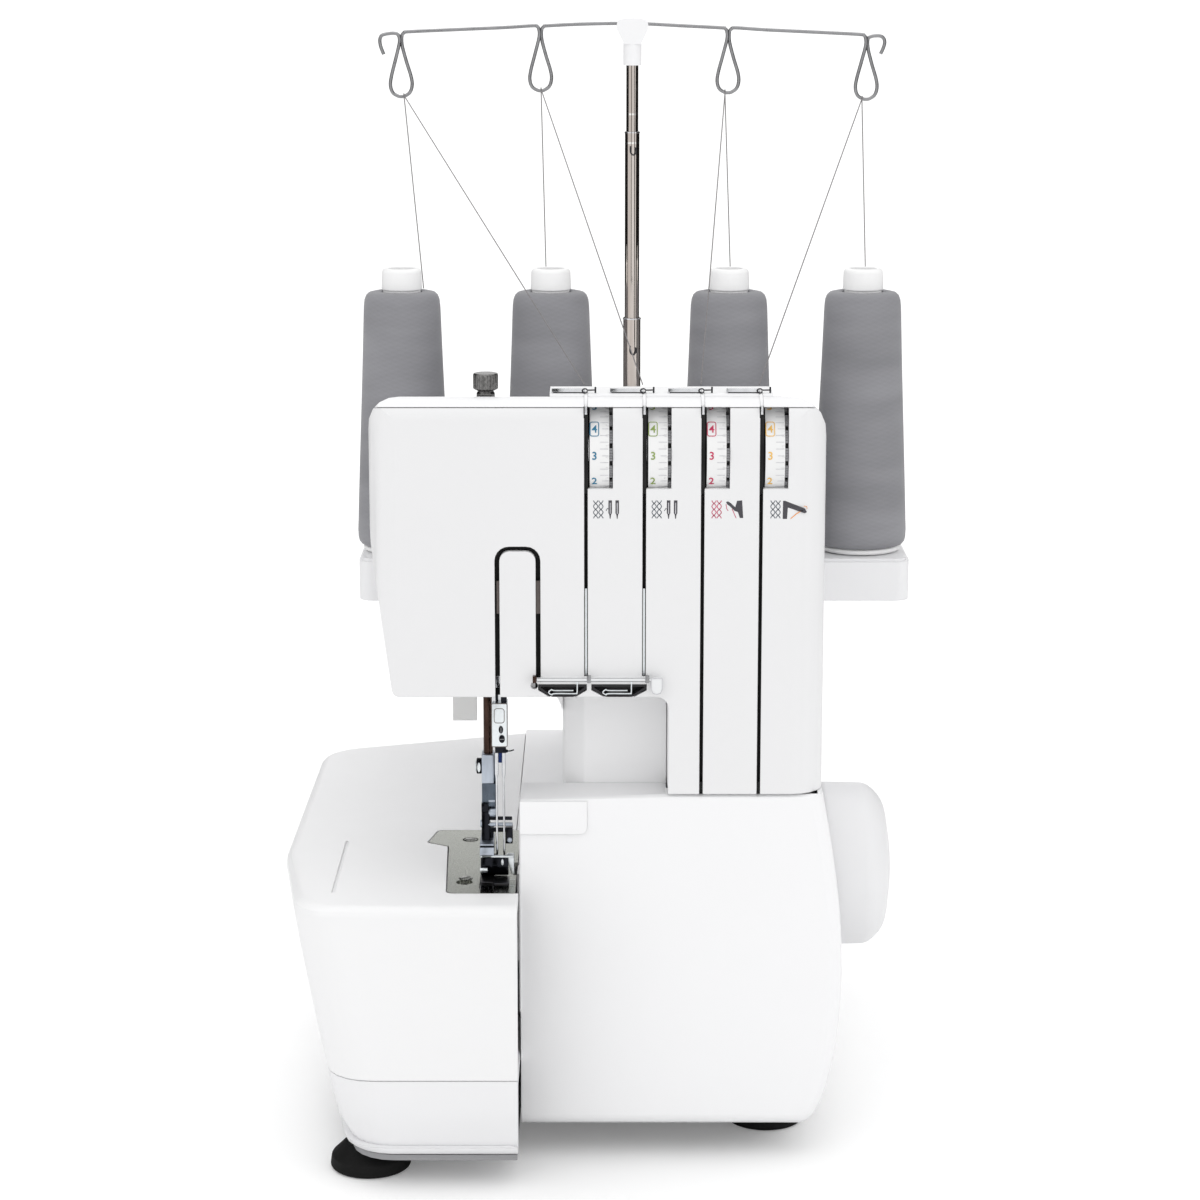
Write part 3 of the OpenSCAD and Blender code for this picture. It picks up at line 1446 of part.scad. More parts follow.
rubber_feet();
bottom_plate();
base_housing();
lower_housing();
rear_housing();
front_panel();
top_cover();
face_plate();
column_panel();
main_frame();
free_arm();
needle_plate();
plate_screws();
extension_table();
front_cover();
cover_hinge_rod();
handwheel();
main_shaft();
shaft_bushes();
motor();
motor_pulley();
drive_belt();
needle_bar();
needle_clamp();
clamp_screws();
needles();
needle_rocker();
presser_bar();
presser_spring();
presser_foot();
foot_screw();
pressure_screw();
lifter_lever();
feed_dog();
lower_looper();
upper_looper();
lower_knife();
upper_knife();
tension_bracket();
tension_discs();
tension_dial(0);  // tension_dial_1
tension_dial(1);  // tension_dial_2
tension_dial(2);  // tension_dial_3
tension_dial(3);  // tension_dial_4
thread_guides();
needle_thread_guide();
scoop_cups();
side_dial(stitch_y);  // stitch_length_dial
side_dial(feed_dial_y);  // feed_dial
power_switch();
inlet_socket();
spool_stand();
spool_pins();
cone_cores();
thread_cones();
mast_lower();
mast_middle();
mast_upper();
guide_wire();
threads();
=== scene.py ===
"""Looks of the overlock sewing machine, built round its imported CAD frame. Lengths in this file are
in millimetres and are scaled to metres where a mesh is made."""

import json
import math

import bmesh
import bpy
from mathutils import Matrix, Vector


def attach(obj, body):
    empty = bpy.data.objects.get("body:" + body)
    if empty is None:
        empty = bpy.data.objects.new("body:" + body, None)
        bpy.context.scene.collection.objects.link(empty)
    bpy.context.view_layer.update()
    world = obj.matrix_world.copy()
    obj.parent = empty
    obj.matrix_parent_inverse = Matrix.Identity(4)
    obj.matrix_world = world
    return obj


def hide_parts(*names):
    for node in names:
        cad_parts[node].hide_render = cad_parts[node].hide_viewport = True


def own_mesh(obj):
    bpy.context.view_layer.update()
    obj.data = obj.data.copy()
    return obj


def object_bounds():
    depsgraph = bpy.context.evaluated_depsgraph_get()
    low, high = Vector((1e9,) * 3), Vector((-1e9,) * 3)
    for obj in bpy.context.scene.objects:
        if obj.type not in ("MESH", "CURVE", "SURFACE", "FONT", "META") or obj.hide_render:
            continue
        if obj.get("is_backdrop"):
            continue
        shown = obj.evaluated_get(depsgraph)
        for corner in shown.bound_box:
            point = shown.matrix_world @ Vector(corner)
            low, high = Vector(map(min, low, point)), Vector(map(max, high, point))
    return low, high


MM = 0.001
SHARP, WELD = 32, 0.004  # angle in degrees from which an edge shades sharp, reach of a weld
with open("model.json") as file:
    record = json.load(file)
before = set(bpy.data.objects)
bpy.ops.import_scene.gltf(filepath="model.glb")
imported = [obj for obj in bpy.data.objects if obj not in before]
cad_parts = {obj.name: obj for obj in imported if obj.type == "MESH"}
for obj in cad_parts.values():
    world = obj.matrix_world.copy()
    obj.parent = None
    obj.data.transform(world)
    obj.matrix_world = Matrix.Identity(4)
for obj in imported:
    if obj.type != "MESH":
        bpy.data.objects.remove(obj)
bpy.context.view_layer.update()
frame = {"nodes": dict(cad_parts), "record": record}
NODES = frame["nodes"]

# ---------- Camera, light and floor: in metres, but for the camera's place ----------

CAMERA_AT, CAMERA_DOWN = (-7.0, -1328.745, 510.309), 10.905
WORLD_LEVEL = 1.05
FLOOR_REACH, FLOOR_DROP = 30, 0.0002
GLOW_FROM, GLOW_TO, GLOW_NEAR, GLOW_FAR = 0.3, 1.6, 0.15, 0.22
# Black flags round the set, seen in reflections alone: from and to, in degrees to the camera's right
FLAGS = ((-162, -76), (-19, -9), (35, 48), (66, 162))
FLAG_RADIUS, FLAG_HEIGHT, FLAG_STEP = 1.15, 1.6, 4
# Name, place, target, size and watts
LAMPS = (("key", (-0.9, -1.5, 1.9), (0, 0, 0.2), 1.4, 2.8),
         ("fill", (1.6, -1.2, 1.0), (0, 0, 0.25), 1.2, 2.5),
         ("top", (0.0, 0.5, 2.2), (0, 0, 0.2), 1.6, 4))


def add(name, data):
    """A new object in the scene."""
    obj = bpy.data.objects.new(name, data)
    bpy.context.scene.collection.objects.link(obj)
    return obj


def matte(name, grey, rough, specular):
    """A plain grey material and its Principled node."""
    material = bpy.data.materials.new(name)
    material.use_nodes = True
    surface = material.node_tree.nodes["Principled BSDF"]
    surface.inputs["Base Color"].default_value = (grey, grey, grey, 1)
    surface.inputs["Roughness"].default_value = rough
    surface.inputs["Specular IOR Level"].default_value = specular
    return material, surface


def make_camera():
    data = bpy.data.cameras.new("camera")
    data.lens, data.sensor_width = 90, 36
    data.shift_y = -0.06
    data.clip_start, data.clip_end = 0.05, 50
    camera = add("camera", data)
    camera.location = Vector(CAMERA_AT) * MM
    camera.rotation_euler = (math.radians(90 - CAMERA_DOWN), 0, 0)
    bpy.context.scene.camera = camera


def make_lamp(name, at, target, size, power):
    data = bpy.data.lights.new(name, "AREA")
    data.shape, data.size, data.size_y = "RECTANGLE", size, size
    data.energy = power
    lamp = add(name, data)
    lamp.location = at
    lamp.rotation_euler = (Vector(target) - Vector(at)).to_track_quat("-Z", "Y").to_euler()


def make_world():
    """White all round: 1 where it is seen or mirrored, WORLD_LEVEL where it only lights."""
    world = bpy.data.worlds.new("studio")
    bpy.context.scene.world = world
    world.use_nodes = True
    nodes, links = world.node_tree.nodes, world.node_tree.links

    def either(first, second):
        node = nodes.new("ShaderNodeMath")
        node.operation = "MAXIMUM"
        links.new(first, node.inputs[0])
        links.new(second, node.inputs[1])
        return node.outputs[0]

    path = nodes.new("ShaderNodeLightPath")
    seen = either(path.outputs["Is Camera Ray"], path.outputs["Is Transmission Ray"])
    seen = either(seen, path.outputs["Is Glossy Ray"])
    level = nodes.new("ShaderNodeMapRange")
    level.inputs["To Min"].default_value = WORLD_LEVEL
    level.inputs["To Max"].default_value = 1.0
    links.new(seen, level.inputs["Value"])
    back = nodes["Background"]
    back.inputs["Color"].default_value = (1, 1, 1, 1)
    links.new(level.outputs[0], back.inputs["Strength"])


def make_flags():
    verts, faces = [], []
    for low, high in FLAGS:
        count = max(2, int((high - low) / FLAG_STEP))
        for k in range(count + 1):
            a = math.radians(low + (high - low) * k / count)
            for z in (0.0, FLAG_HEIGHT):
                verts.append((FLAG_RADIUS * math.sin(a), -FLAG_RADIUS * math.cos(a), z))
            if k:
                n = len(verts)
                faces.append((n - 4, n - 2, n - 1, n - 3))
    mesh = bpy.data.meshes.new("flags")
    mesh.from_pydata(verts, [], faces)
    mesh.materials.append(matte("flags", 0.01, 0.95, 0)[0])
    flags = add("flags", mesh)
    flags.visible_camera = flags.visible_diffuse = False
    flags.visible_shadow = flags.visible_transmission = False
    flags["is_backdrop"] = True


def make_floor():
    """White floor that shines a little to the camera, more so far away."""
    mesh = bpy.data.meshes.new("floor")
    r = FLOOR_REACH
    mesh.from_pydata([(-r, -r, 0), (r, -r, 0), (r, r, 0), (-r, r, 0)], [], [(0, 1, 2, 3)])
    floor = add("floor", mesh)
    floor.location.z = -FLOOR_DROP
    material, surface = matte("floor", 0.88, 0.9, 0.1)
    nodes, links = material.node_tree.nodes, material.node_tree.links
    path = nodes.new("ShaderNodeLightPath")
    glow = nodes.new("ShaderNodeEmission")
    seen = nodes.new("ShaderNodeMath")
    seen.operation = "MULTIPLY"
    coords = nodes.new("ShaderNodeTexCoord")
    reach = nodes.new("ShaderNodeVectorMath")
    reach.operation = "LENGTH"
    links.new(coords.outputs["Object"], reach.inputs[0])
    away = nodes.new("ShaderNodeMapRange")
    for key, value in (("From Min", GLOW_FROM), ("From Max", GLOW_TO),
                       ("To Min", GLOW_NEAR), ("To Max", GLOW_FAR)):
        away.inputs[key].default_value = value
    links.new(reach.outputs["Value"], away.inputs["Value"])
    links.new(away.outputs[0], seen.inputs[1])
    links.new(path.outputs["Is Camera Ray"], seen.inputs[0])
    links.new(seen.outputs[0], glow.inputs["Strength"])
    both = nodes.new("ShaderNodeAddShader")
    links.new(surface.outputs[0], both.inputs[0])
    links.new(glow.outputs[0], both.inputs[1])
    links.new(both.outputs[0], nodes["Material Output"].inputs["Surface"])
    mesh.materials.append(material)
    floor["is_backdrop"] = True


bpy.context.scene.view_settings.view_transform = "Standard"
make_camera()
make_world()
make_floor()
make_flags()
for lamp in LAMPS:
    make_lamp(*lamp)

# ---------- Mesh building ----------


def lin(r, g, b):
    """Linear colour of an sRGB one, 0 to 255."""
    return tuple((c / 255 / 12.92) if c < 11 else ((c / 255 + 0.055) / 1.055) ** 2.4 for c in (r, g, b))


def merge(*groups):
    verts, faces = [], []
    for v, f in groups:
        base = len(verts)
        verts += [tuple(p) for p in v]
        faces += [tuple(i + base for i in face) for face in f]
    return verts, faces


def spline(points, steps=6):
    """Catmull-Rom curve through the points."""
    p = [Vector(q) for q in points]
    n = len(p)
    out = []
    for i in range(n - 1):
        a, b, c, d = (p[min(max(i + k, 0), n - 1)] for k in (-1, 0, 1, 2))
        for s in range(steps):
            t = s / steps
            out.append(0.5 * ((2 * b) + (c - a) * t + (2 * a - 5 * b + 4 * c - d) * t * t
                              + (3 * b - a - 3 * c + d) * t ** 3))
    out.append(p[-1])
    return out


def tube(points, radius, sides=10):
    """Round wire along the points, with its ends capped."""
    p = [Vector(q) for q in points]
    n = len(p)
    ways = [(p[min(i + 1, n - 1)] - p[max(i - 1, 0)]).normalized() for i in range(n)]
    side = ways[0].orthogonal().normalized()
    verts, faces = [], []
    for i in range(n):
        side = (side - ways[i] * side.dot(ways[i])).normalized()
        up = ways[i].cross(side)
        for k in range(sides):
            a = 2 * math.pi * k / sides
            verts.append(p[i] + (side * math.cos(a) + up * math.sin(a)) * radius)
    for i in range(n - 1):
        for k in range(sides):
            a, b = i * sides + k, i * sides + (k + 1) % sides
            j = (i + 1) * sides
            faces.append((a, b, j + (k + 1) % sides, j + k))
    faces.append(tuple(reversed(range(sides))))
    faces.append(tuple((n - 1) * sides + k for k in range(sides)))
    return verts, faces


def lathe(profile, at=(0, 0, 0), axis="z", steps=96, closed=False):
    """Body of revolution: profile is a list of (radius, height along the axis)."""
    verts, faces = [], []
    n = len(profile)
    for k in range(steps):
        a = 2 * math.pi * k / steps
        for r, h in profile:
            c, s = r * math.cos(a), r * math.sin(a)
            q = {"z": (c, s, h), "x": (h, c, s), "y": (c, h, s)}[axis]
            verts.append((at[0] + q[0], at[1] + q[1], at[2] + q[2]))
    for k in range(steps):
        for i in range(n if closed else n - 1):
            a, b = k * n + i, k * n + (i + 1) % n
            c, d = (k + 1) % steps * n + (i + 1) % n, (k + 1) % steps * n + i
            faces.append((a, b, c, d) if axis != "y" else (d, c, b, a))
    return verts, faces


def prism(outline, low, high, axis="y"):
    """Outline of (a, b) points drawn across the axis between low and high."""
    def place(a, b, h):
        return {"x": (h, a, b), "y": (a, h, b), "z": (a, b, h)}[axis]
    n = len(outline)
    verts = [place(a, b, low) for a, b in outline] + [place(a, b, high) for a, b in outline]
    faces = [tuple(range(n)), tuple(reversed(range(n, 2 * n)))]
    faces += [(i, i + n, (i + 1) % n + n, (i + 1) % n) for i in range(n)]
    return verts, faces


def block(low, high):
    """Box between two opposite corners."""
    corners = [(low[0], low[2]), (high[0], low[2]), (high[0], high[2]), (low[0], high[2])]
    return prism(corners, low[1], high[1])


def rounded(x0, y0, x1, y1, r, steps=5):
    """Outline of a rectangle with round corners."""
    out = []
    corners = ((x1 - r, y0 + r, -90), (x1 - r, y1 - r, 0), (x0 + r, y1 - r, 90), (x0 + r, y0 + r, 180))
    for cx, cy, start in corners:
        for k in range(steps + 1):
            a = math.radians(start + 90 * k / steps)
            out.append((cx + r * math.cos(a), cy + r * math.sin(a)))
    return out


def ribbon(points, width, closed=False):
    """Flat strip along 2D points: pairs of left and right points, and its quads."""
    p = [Vector((*q, 0)) for q in points]
    n = len(p)
    verts, faces = [], []
    for i in range(n):
        before = p[i - 1] if (i or closed) else p[i]
        after = p[(i + 1) % n] if (i < n - 1 or closed) else p[i]
        way = (after - before).normalized()
        out = Vector((-way.y, way.x, 0)) * width / 2
        verts += [tuple((p[i] + out)[:2]), tuple((p[i] - out)[:2])]
    for i in range(n if closed else n - 1):
        j = (i + 1) % n
        faces.append((2 * i, 2 * i + 1, 2 * j + 1, 2 * j))
    return verts, faces


def glyph(char, height):
    """Flat outline mesh of one digit, its middle at the origin."""
    curve = bpy.data.curves.new("glyph", "FONT")
    curve.body = char
    curve.size = 1
    curve.offset = 0.012
    obj = add("glyph", curve)
    bpy.context.view_layer.update()
    mesh = bpy.data.meshes.new_from_object(obj)
    verts = [(v.co.x, v.co.y) for v in mesh.vertices]
    faces = [tuple(f.vertices) for f in mesh.polygons]
    bpy.data.objects.remove(obj)
    bpy.data.curves.remove(curve)
    bpy.data.meshes.remove(mesh)
    x0, x1 = min(v[0] for v in verts), max(v[0] for v in verts)
    y0, y1 = min(v[1] for v in verts), max(v[1] for v in verts)
    k = height / (y1 - y0)
    return [((x - (x0 + x1) / 2) * k, (y - (y0 + y1) / 2) * k) for x, y in verts], faces


def put(flat, place):
    """A flat (verts, faces) group carried to 3D by place(u, v)."""
    return [place(u, v) for u, v in flat[0]], flat[1]


def piece(name, group, material, body, split=SHARP, bevel=0.0, close=True):
    """A shown object that rides a body of the frame: group is (verts, faces) in millimetres, material a key
    of MATERIALS, split the angle in degrees above which an edge is sharp. Flat marks have close=False and
    keep the way their faces look."""
    verts, faces = group
    mesh = bpy.data.meshes.new(name)
    mesh.from_pydata([tuple(c * MM for c in v) for v in verts], [], faces)
    work = bmesh.new()
    work.from_mesh(mesh)
    if close:
        bmesh.ops.remove_doubles(work, verts=work.verts, dist=1e-7)
        bmesh.ops.recalc_face_normals(work, faces=work.faces)
    work.to_mesh(mesh)
    work.free()
    for polygon in mesh.polygons:
        polygon.use_smooth = True
    mesh.materials.append(MATERIALS[material])
    obj = add(name, mesh)
    if bevel:
        edge = obj.modifiers.new("bevel", "BEVEL")
        edge.width = bevel * MM
        edge.segments = 3
        edge.angle_limit = math.radians(40)
    edges = obj.modifiers.new("edges", "EDGE_SPLIT")
    edges.split_angle = math.radians(split)
    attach(obj, body)
    return obj


# ---------- Materials ----------


class Shader:
    """A material with a Principled surface and helpers that wire its nodes."""

    def __init__(self, name, rgb, rough, metallic=0.0):
        self.material = bpy.data.materials.new(name)
        self.material.use_nodes = True
        self.nodes = self.material.node_tree.nodes
        self.links = self.material.node_tree.links
        self.surface = self.nodes["Principled BSDF"]
        self.rgb = rgb
        self.surface.inputs["Base Color"].default_value = (*rgb, 1)
        self.surface.inputs["Roughness"].default_value = rough
        self.surface.inputs["Metallic"].default_value = metallic
        self.coords = self.nodes.new("ShaderNodeTexCoord")
        self.colour = None
        self.relief = None

    def math(self, kind, a, b=0.0):
        node = self.nodes.new("ShaderNodeMath")
        node.operation = kind
        for i, value in enumerate((a, b)):
            if isinstance(value, (int, float)):
                node.inputs[i].default_value = value
            else:
                self.links.new(value, node.inputs[i])
        return node.outputs[0]

    def noise(self, scale, detail=3.0, stretch=(1, 1, 1)):
        place = self.nodes.new("ShaderNodeMapping")
        place.inputs["Scale"].default_value = stretch
        self.links.new(self.coords.outputs["Object"], place.inputs["Vector"])
        node = self.nodes.new("ShaderNodeTexNoise")
        node.inputs["Scale"].default_value = scale
        node.inputs["Detail"].default_value = detail
        self.links.new(place.outputs[0], node.inputs["Vector"])
        return node.outputs["Fac"]

    def spread(self, source, low, high, start=0.3, end=0.7):
        node = self.nodes.new("ShaderNodeMapRange")
        for key, value in zip(("From Min", "From Max", "To Min", "To Max"), (start, end, low, high)):
            node.inputs[key].default_value = value
        self.links.new(source, node.inputs["Value"])
        return node.outputs[0]

    def mix(self, amount, first, second):
        node = self.nodes.new("ShaderNodeMix")
        node.data_type = "RGBA"
        for key, value in (("A", first), ("B", second)):
            if isinstance(value, tuple):
                node.inputs[key].default_value = (*value[:3], 1)
            else:
                self.links.new(value, node.inputs[key])
        self.links.new(amount, node.inputs["Factor"])
        self.colour = node.outputs["Result"]
        self.links.new(self.colour, self.surface.inputs["Base Color"])
        return self.colour

    def tint(self, source, darker, lighter):
        """Base colour that wanders between two shades of the given colour."""
        shades = [tuple(min(1, c * k) for c in self.rgb) for k in (darker, lighter)]
        return self.mix(self.spread(source, 0, 1), *shades)

    def rough(self, source, low, high):
        self.links.new(self.spread(source, low, high), self.surface.inputs["Roughness"])

    def bump(self, source, strength, distance):
        node = self.nodes.new("ShaderNodeBump")
        node.inputs["Strength"].default_value = strength
        node.inputs["Distance"].default_value = distance
        self.links.new(source, node.inputs["Height"])
        if self.relief:
            self.links.new(self.relief, node.inputs["Normal"])
        self.relief = node.outputs[0]
        self.links.new(self.relief, self.surface.inputs["Normal"])

    def round_edges(self, radius):
        node = self.nodes.new("ShaderNodeBevel")
        node.samples = 4
        node.inputs["Radius"].default_value = radius
        self.relief = node.outputs[0]
        self.links.new(self.relief, self.surface.inputs["Normal"])

    def band(self, value, low, high):
        """1 where the value in millimetres lies between low and high, else 0."""
        above = self.math("GREATER_THAN", value, low * MM)
        return self.math("MULTIPLY", above, self.math("LESS_THAN", value, high * MM))

    def inside(self, *boxes):
        """1 inside any of the boxes ((x0, x1), (y0, y1), (z0, z1)), in millimetres."""
        parts = self.nodes.new("ShaderNodeSeparateXYZ")
        self.links.new(self.coords.outputs["Object"], parts.inputs[0])
        total = None
        for box in boxes:
            here = None
            for k in range(3):
                if box[k]:
                    part = self.band(parts.outputs[k], *box[k])
                    here = part if here is None else self.math("MULTIPLY", here, part)
            total = here if total is None else self.math("MAXIMUM", total, here)
        return total


def plastic(name, rgb, rough=0.36, grain=0.2, fine=1500, edge=0.0, dark=()):
    """Moulded plastic. The boxes in dark are the insides of slots, painted black there as painted shade."""
    s = Shader(name, rgb, rough)
    if edge:
        s.round_edges(edge * MM)
    s.tint(s.noise(6, 2), 0.985, 1.008)
    polish = s.spread(s.noise(90, 4), rough - 0.05, rough + 0.06)
    s.bump(s.noise(fine, 3), grain, 0.00003)
    s.surface.inputs["Specular IOR Level"].default_value = 0.42
    if dark:
        # Painted shade: faces inside the boxes turn near black and rough.
        painted_shade = s.inside(*dark)
        s.mix(painted_shade, s.colour, (0.004, 0.004, 0.0045))
        polish = s.math("MAXIMUM", polish, painted_shade)
    s.links.new(polish, s.surface.inputs["Roughness"])
    return s.material


def steel(name, rgb, rough=0.25, stretch=(1, 1, 1), scale=260, bump=0.12, low=0.86):
    """Metal whose colour and polish wander along its grain."""
    s = Shader(name, rgb, rough, 1.0)
    lines = s.noise(scale, 4, stretch)
    s.tint(lines, low, 1.06)
    s.rough(lines, max(0.03, rough - 0.07), rough + 0.09)
    s.bump(s.noise(scale * 2, 3, stretch), bump, 0.00003)
    return s.material


def rubber(name, rgb, rough=0.7):
    s = Shader(name, rgb, rough)
    s.tint(s.noise(40, 4), 0.7, 1.25)
    s.rough(s.noise(160, 4), rough - 0.12, rough + 0.1)
    s.bump(s.noise(900, 4), 0.4, 0.0001)
    s.surface.inputs["Specular IOR Level"].default_value = 0.15
    return s.material


def ink(name, rgb, rough=0.4):
    s = Shader(name, rgb, rough)
    s.tint(s.noise(700, 3), 0.85, 1.15)
    s.rough(s.noise(300, 3), rough - 0.08, rough + 0.08)
    return s.material


def wound_thread():
    """Grey thread wound on a cone in crossing turns. UV runs round and up it, in millimetres."""
    s = Shader("cone_thread", lin(137, 137, 141), 0.75)
    turns = []
    for slope, scale in ((1, 0.16), (-1, 0.13)):
        place = s.nodes.new("ShaderNodeMapping")
        place.inputs["Rotation"].default_value = (0, 0, slope * 0.3)
        s.links.new(s.coords.outputs["UV"], place.inputs["Vector"])
        wave = s.nodes.new("ShaderNodeTexWave")
        wave.bands_direction = "Y"
        wave.inputs["Scale"].default_value = scale
        wave.inputs["Distortion"].default_value = 3
        wave.inputs["Detail"].default_value = 3
        wave.inputs["Detail Scale"].default_value = 0.12
        s.links.new(place.outputs[0], wave.inputs["Vector"])
        turns.append(wave.outputs["Fac"])
    weave = s.math("MULTIPLY", s.math("ADD", *turns), 0.5)
    bands = s.noise(30, 3, (0.5, 0.5, 2.4))
    s.tint(s.math("ADD", s.math("MULTIPLY", weave, 0.14), s.math("MULTIPLY", bands, 0.86)), 0.84, 1.1)
    s.rough(weave, 0.7, 0.85)
    s.bump(s.noise(900, 3, (0.15, 0.15, 1.6)), 0.25, 0.00012)
    s.bump(weave, 0.12, 0.0001)
    s.surface.inputs["Sheen Weight"].default_value = 0.15
    s.surface.inputs["Sheen Roughness"].default_value = 0.4
    return s.material


def twisted_thread():
    s = Shader("thread_grey", lin(126, 123, 124), 0.7)
    s.tint(s.noise(2200, 3), 0.75, 1.2)
    s.rough(s.noise(900, 2), 0.6, 0.8)
    s.bump(s.noise(2600, 2), 0.5, 0.0001)
    return s.material


def mast_metal():
    """Chromed tubes with painted reflection streaks down them, two faint rings of painted highlight where the
    sections meet, and a white moulded cap on the top one.
    """
    s = Shader("mast_steel", (0.66, 0.61, 0.57), 0.06, 1.0)
    # Painted reflection: vertical streaks in the chrome's colour.
    painted_reflection_streaks = s.noise(500, 3, (1, 1, 0.02))
    s.mix(s.spread(painted_reflection_streaks, 0, 1), (0.54, 0.475, 0.43), (0.72, 0.665, 0.62))
    # Painted highlight: light rings where the tube sections meet.
    painted_joint_highlights = s.inside((None, None, (433, 433.9)), (None, None, (419.4, 420.3)))
    s.mix(painted_joint_highlights, s.colour, (0.95, 0.93, 0.9))
    metal = s.colour
    cap = s.inside(((-40, 40), (80, 140), (456.4, 500)))
    s.mix(cap, metal, (0.88, 0.88, 0.89))
    s.links.new(s.math("SUBTRACT", 1.0, cap), s.surface.inputs["Metallic"])
    s.links.new(s.spread(cap, 0.06, 0.38, 0, 1), s.surface.inputs["Roughness"])
    s.bump(s.noise(900, 3, (1, 1, 0.05)), 0.04, 0.00003)
    return s.material


SLOT = [-12.8 + 24.1 * i for i in range(4)]
U_LEGS = (-49.7, -32.7)
# Boxes in millimetres whose faces get painted shade, black, on the head's front panel and top cover: the slot
# walls, the U-slot's legs and the hollow behind the front panel.
cuts = [((x - 0.95, x + 0.95), (-111.75, -90), (160, 326.2)) for x in SLOT]
legs = [((x - 1.3, x + 1.3), (-111.7, -100), (203, 262)) for x in U_LEGS]
hollow = [((-90, 76), (-108.9, -71), (207.2, 325)), ((24.5, 76), (-108.9, -71), (165.5, 208))]
# Blender puts .001 behind a name that the frame's own materials already have
MATERIALS = {m.name.split(".")[0]: m for m in (
    plastic("shell_white", (0.84, 0.84, 0.85), edge=0.5),
    # Painted light: the table's white is a little lighter than the shell's to make up for the shade the head
    # casts on the deck.
    plastic("table_white", (0.87, 0.87, 0.875), 0.4, edge=0.5),
    plastic("arm_white", (0.76, 0.76, 0.77), 0.3),
    plastic("knob_white", (0.8, 0.8, 0.81), 0.42, 0.1),
    plastic("dial_white", (0.84, 0.84, 0.84), 0.42),
    plastic("plastic_white", (0.82, 0.82, 0.82), 0.4, 0.1),
    plastic("core_white", (0.9, 0.9, 0.9), 0.4, edge=0.4),
    plastic("plastic_grey", (0.3, 0.3, 0.31), 0.55, 0.5),
    plastic("lever_grey", (0.84, 0.84, 0.83), 0.4, edge=0.3),
    plastic("cup_black", (0.012, 0.011, 0.014), 0.22),
    plastic("switch_black", (0.02, 0.02, 0.021), 0.45, 0.5),
    rubber("rubber_black", (0.01, 0.01, 0.01)),
    rubber("belt_black", (0.02, 0.02, 0.02), 0.6),
    steel("motor_steel", (0.12, 0.12, 0.13), 0.45),
    steel("cast_frame", (0.5, 0.5, 0.51), 0.5, scale=700, bump=0.5),
    steel("plate_steel", (0.37, 0.38, 0.345), 0.24, (1, 1, 1), 1400, 0.03, 0.96),
    steel("bright_steel", (0.74, 0.75, 0.77), 0.16),
    steel("foot_steel", (0.5, 0.53, 0.58), 0.2),
    steel("dark_steel", (0.06, 0.06, 0.065), 0.35),
    steel("presser_dark", (0.075, 0.045, 0.036), 0.22, (1, 1, 0.2), 420, 0.2, 0.3),
    steel("knife_steel", (0.6, 0.6, 0.6), 0.28, (1, 1, 0.05), 900),
    steel("bronze", (0.55, 0.38, 0.17), 0.35),
    steel("chrome", (0.78, 0.78, 0.8), 0.1, bump=0.05),
    mast_metal(),
    steel("wire_steel", (0.36, 0.36, 0.37), 0.3),
    wound_thread(),
    twisted_thread(),
    steel("clamp_light", (0.86, 0.9, 0.92), 0.34, scale=400, bump=0.05, low=0.95),
    steel("shank_blue", (0.55, 0.6, 0.68), 0.36, (1, 1, 0.2), 500, 0.1, 0.85),
    steel("shank_dim", (0.14, 0.17, 0.21), 0.3, (1, 1, 0.2), 500, 0.1, 0.7),
    steel("toe_dark", (0.02, 0.021, 0.026), 0.16, scale=300, bump=0.05),
    steel("knurl_steel", (0.27, 0.265, 0.26), 0.3, scale=900, bump=0.2, low=0.6),
    steel("wedge_blue", (0.02, 0.035, 0.12), 0.25),
    steel("screw_grey", (0.33, 0.335, 0.31), 0.25),
    steel("lever_dim", (0.2, 0.175, 0.165), 0.4, (1, 1, 0.1), 400, 0.1),
    # Lighter and darker copies of the shell's white, painted light and shade: the column's recess and the
    # front and lower housing are lighter to make up for their shade, the front panel darker for the extra
    # light on the head. The panel and the top cover also paint their slot insides black as painted shade.
    plastic("column_white_brightened", (0.93, 0.93, 0.935), 0.4),
    plastic("house_white_brightened", (0.89, 0.89, 0.898), edge=0.5),
    plastic("panel_white_shaded", (0.805, 0.805, 0.812), edge=0.5, dark=hollow + cuts + legs),
    plastic("cover_white", (0.84, 0.84, 0.85), edge=0.5, dark=cuts),
    # Near black for painted shade: the sheets behind the slots and the dark inside of each dial.
    plastic("shade_black", (0.006, 0.006, 0.006), 0.6),
    plastic("rib_grey", (0.24, 0.24, 0.25), 0.45, 0.6, 900),
    ink("tick_grey", lin(196, 196, 200)),
    ink("ink_blue", lin(38, 118, 152)),
    ink("ink_green", lin(140, 162, 84)),
    ink("ink_red", lin(196, 44, 88)),
    ink("ink_yellow", lin(232, 184, 92)),
    ink("ink_slate", lin(92, 98, 106)),
    ink("ink_dark", lin(66, 64, 70)),
    ink("ink_orange", lin(236, 150, 60)),
    ink("ink_mauve", lin(196, 84, 112)),
    plastic("clear_white", (0.8, 0.81, 0.82), 0.2, 0.1, edge=0.4),
)}


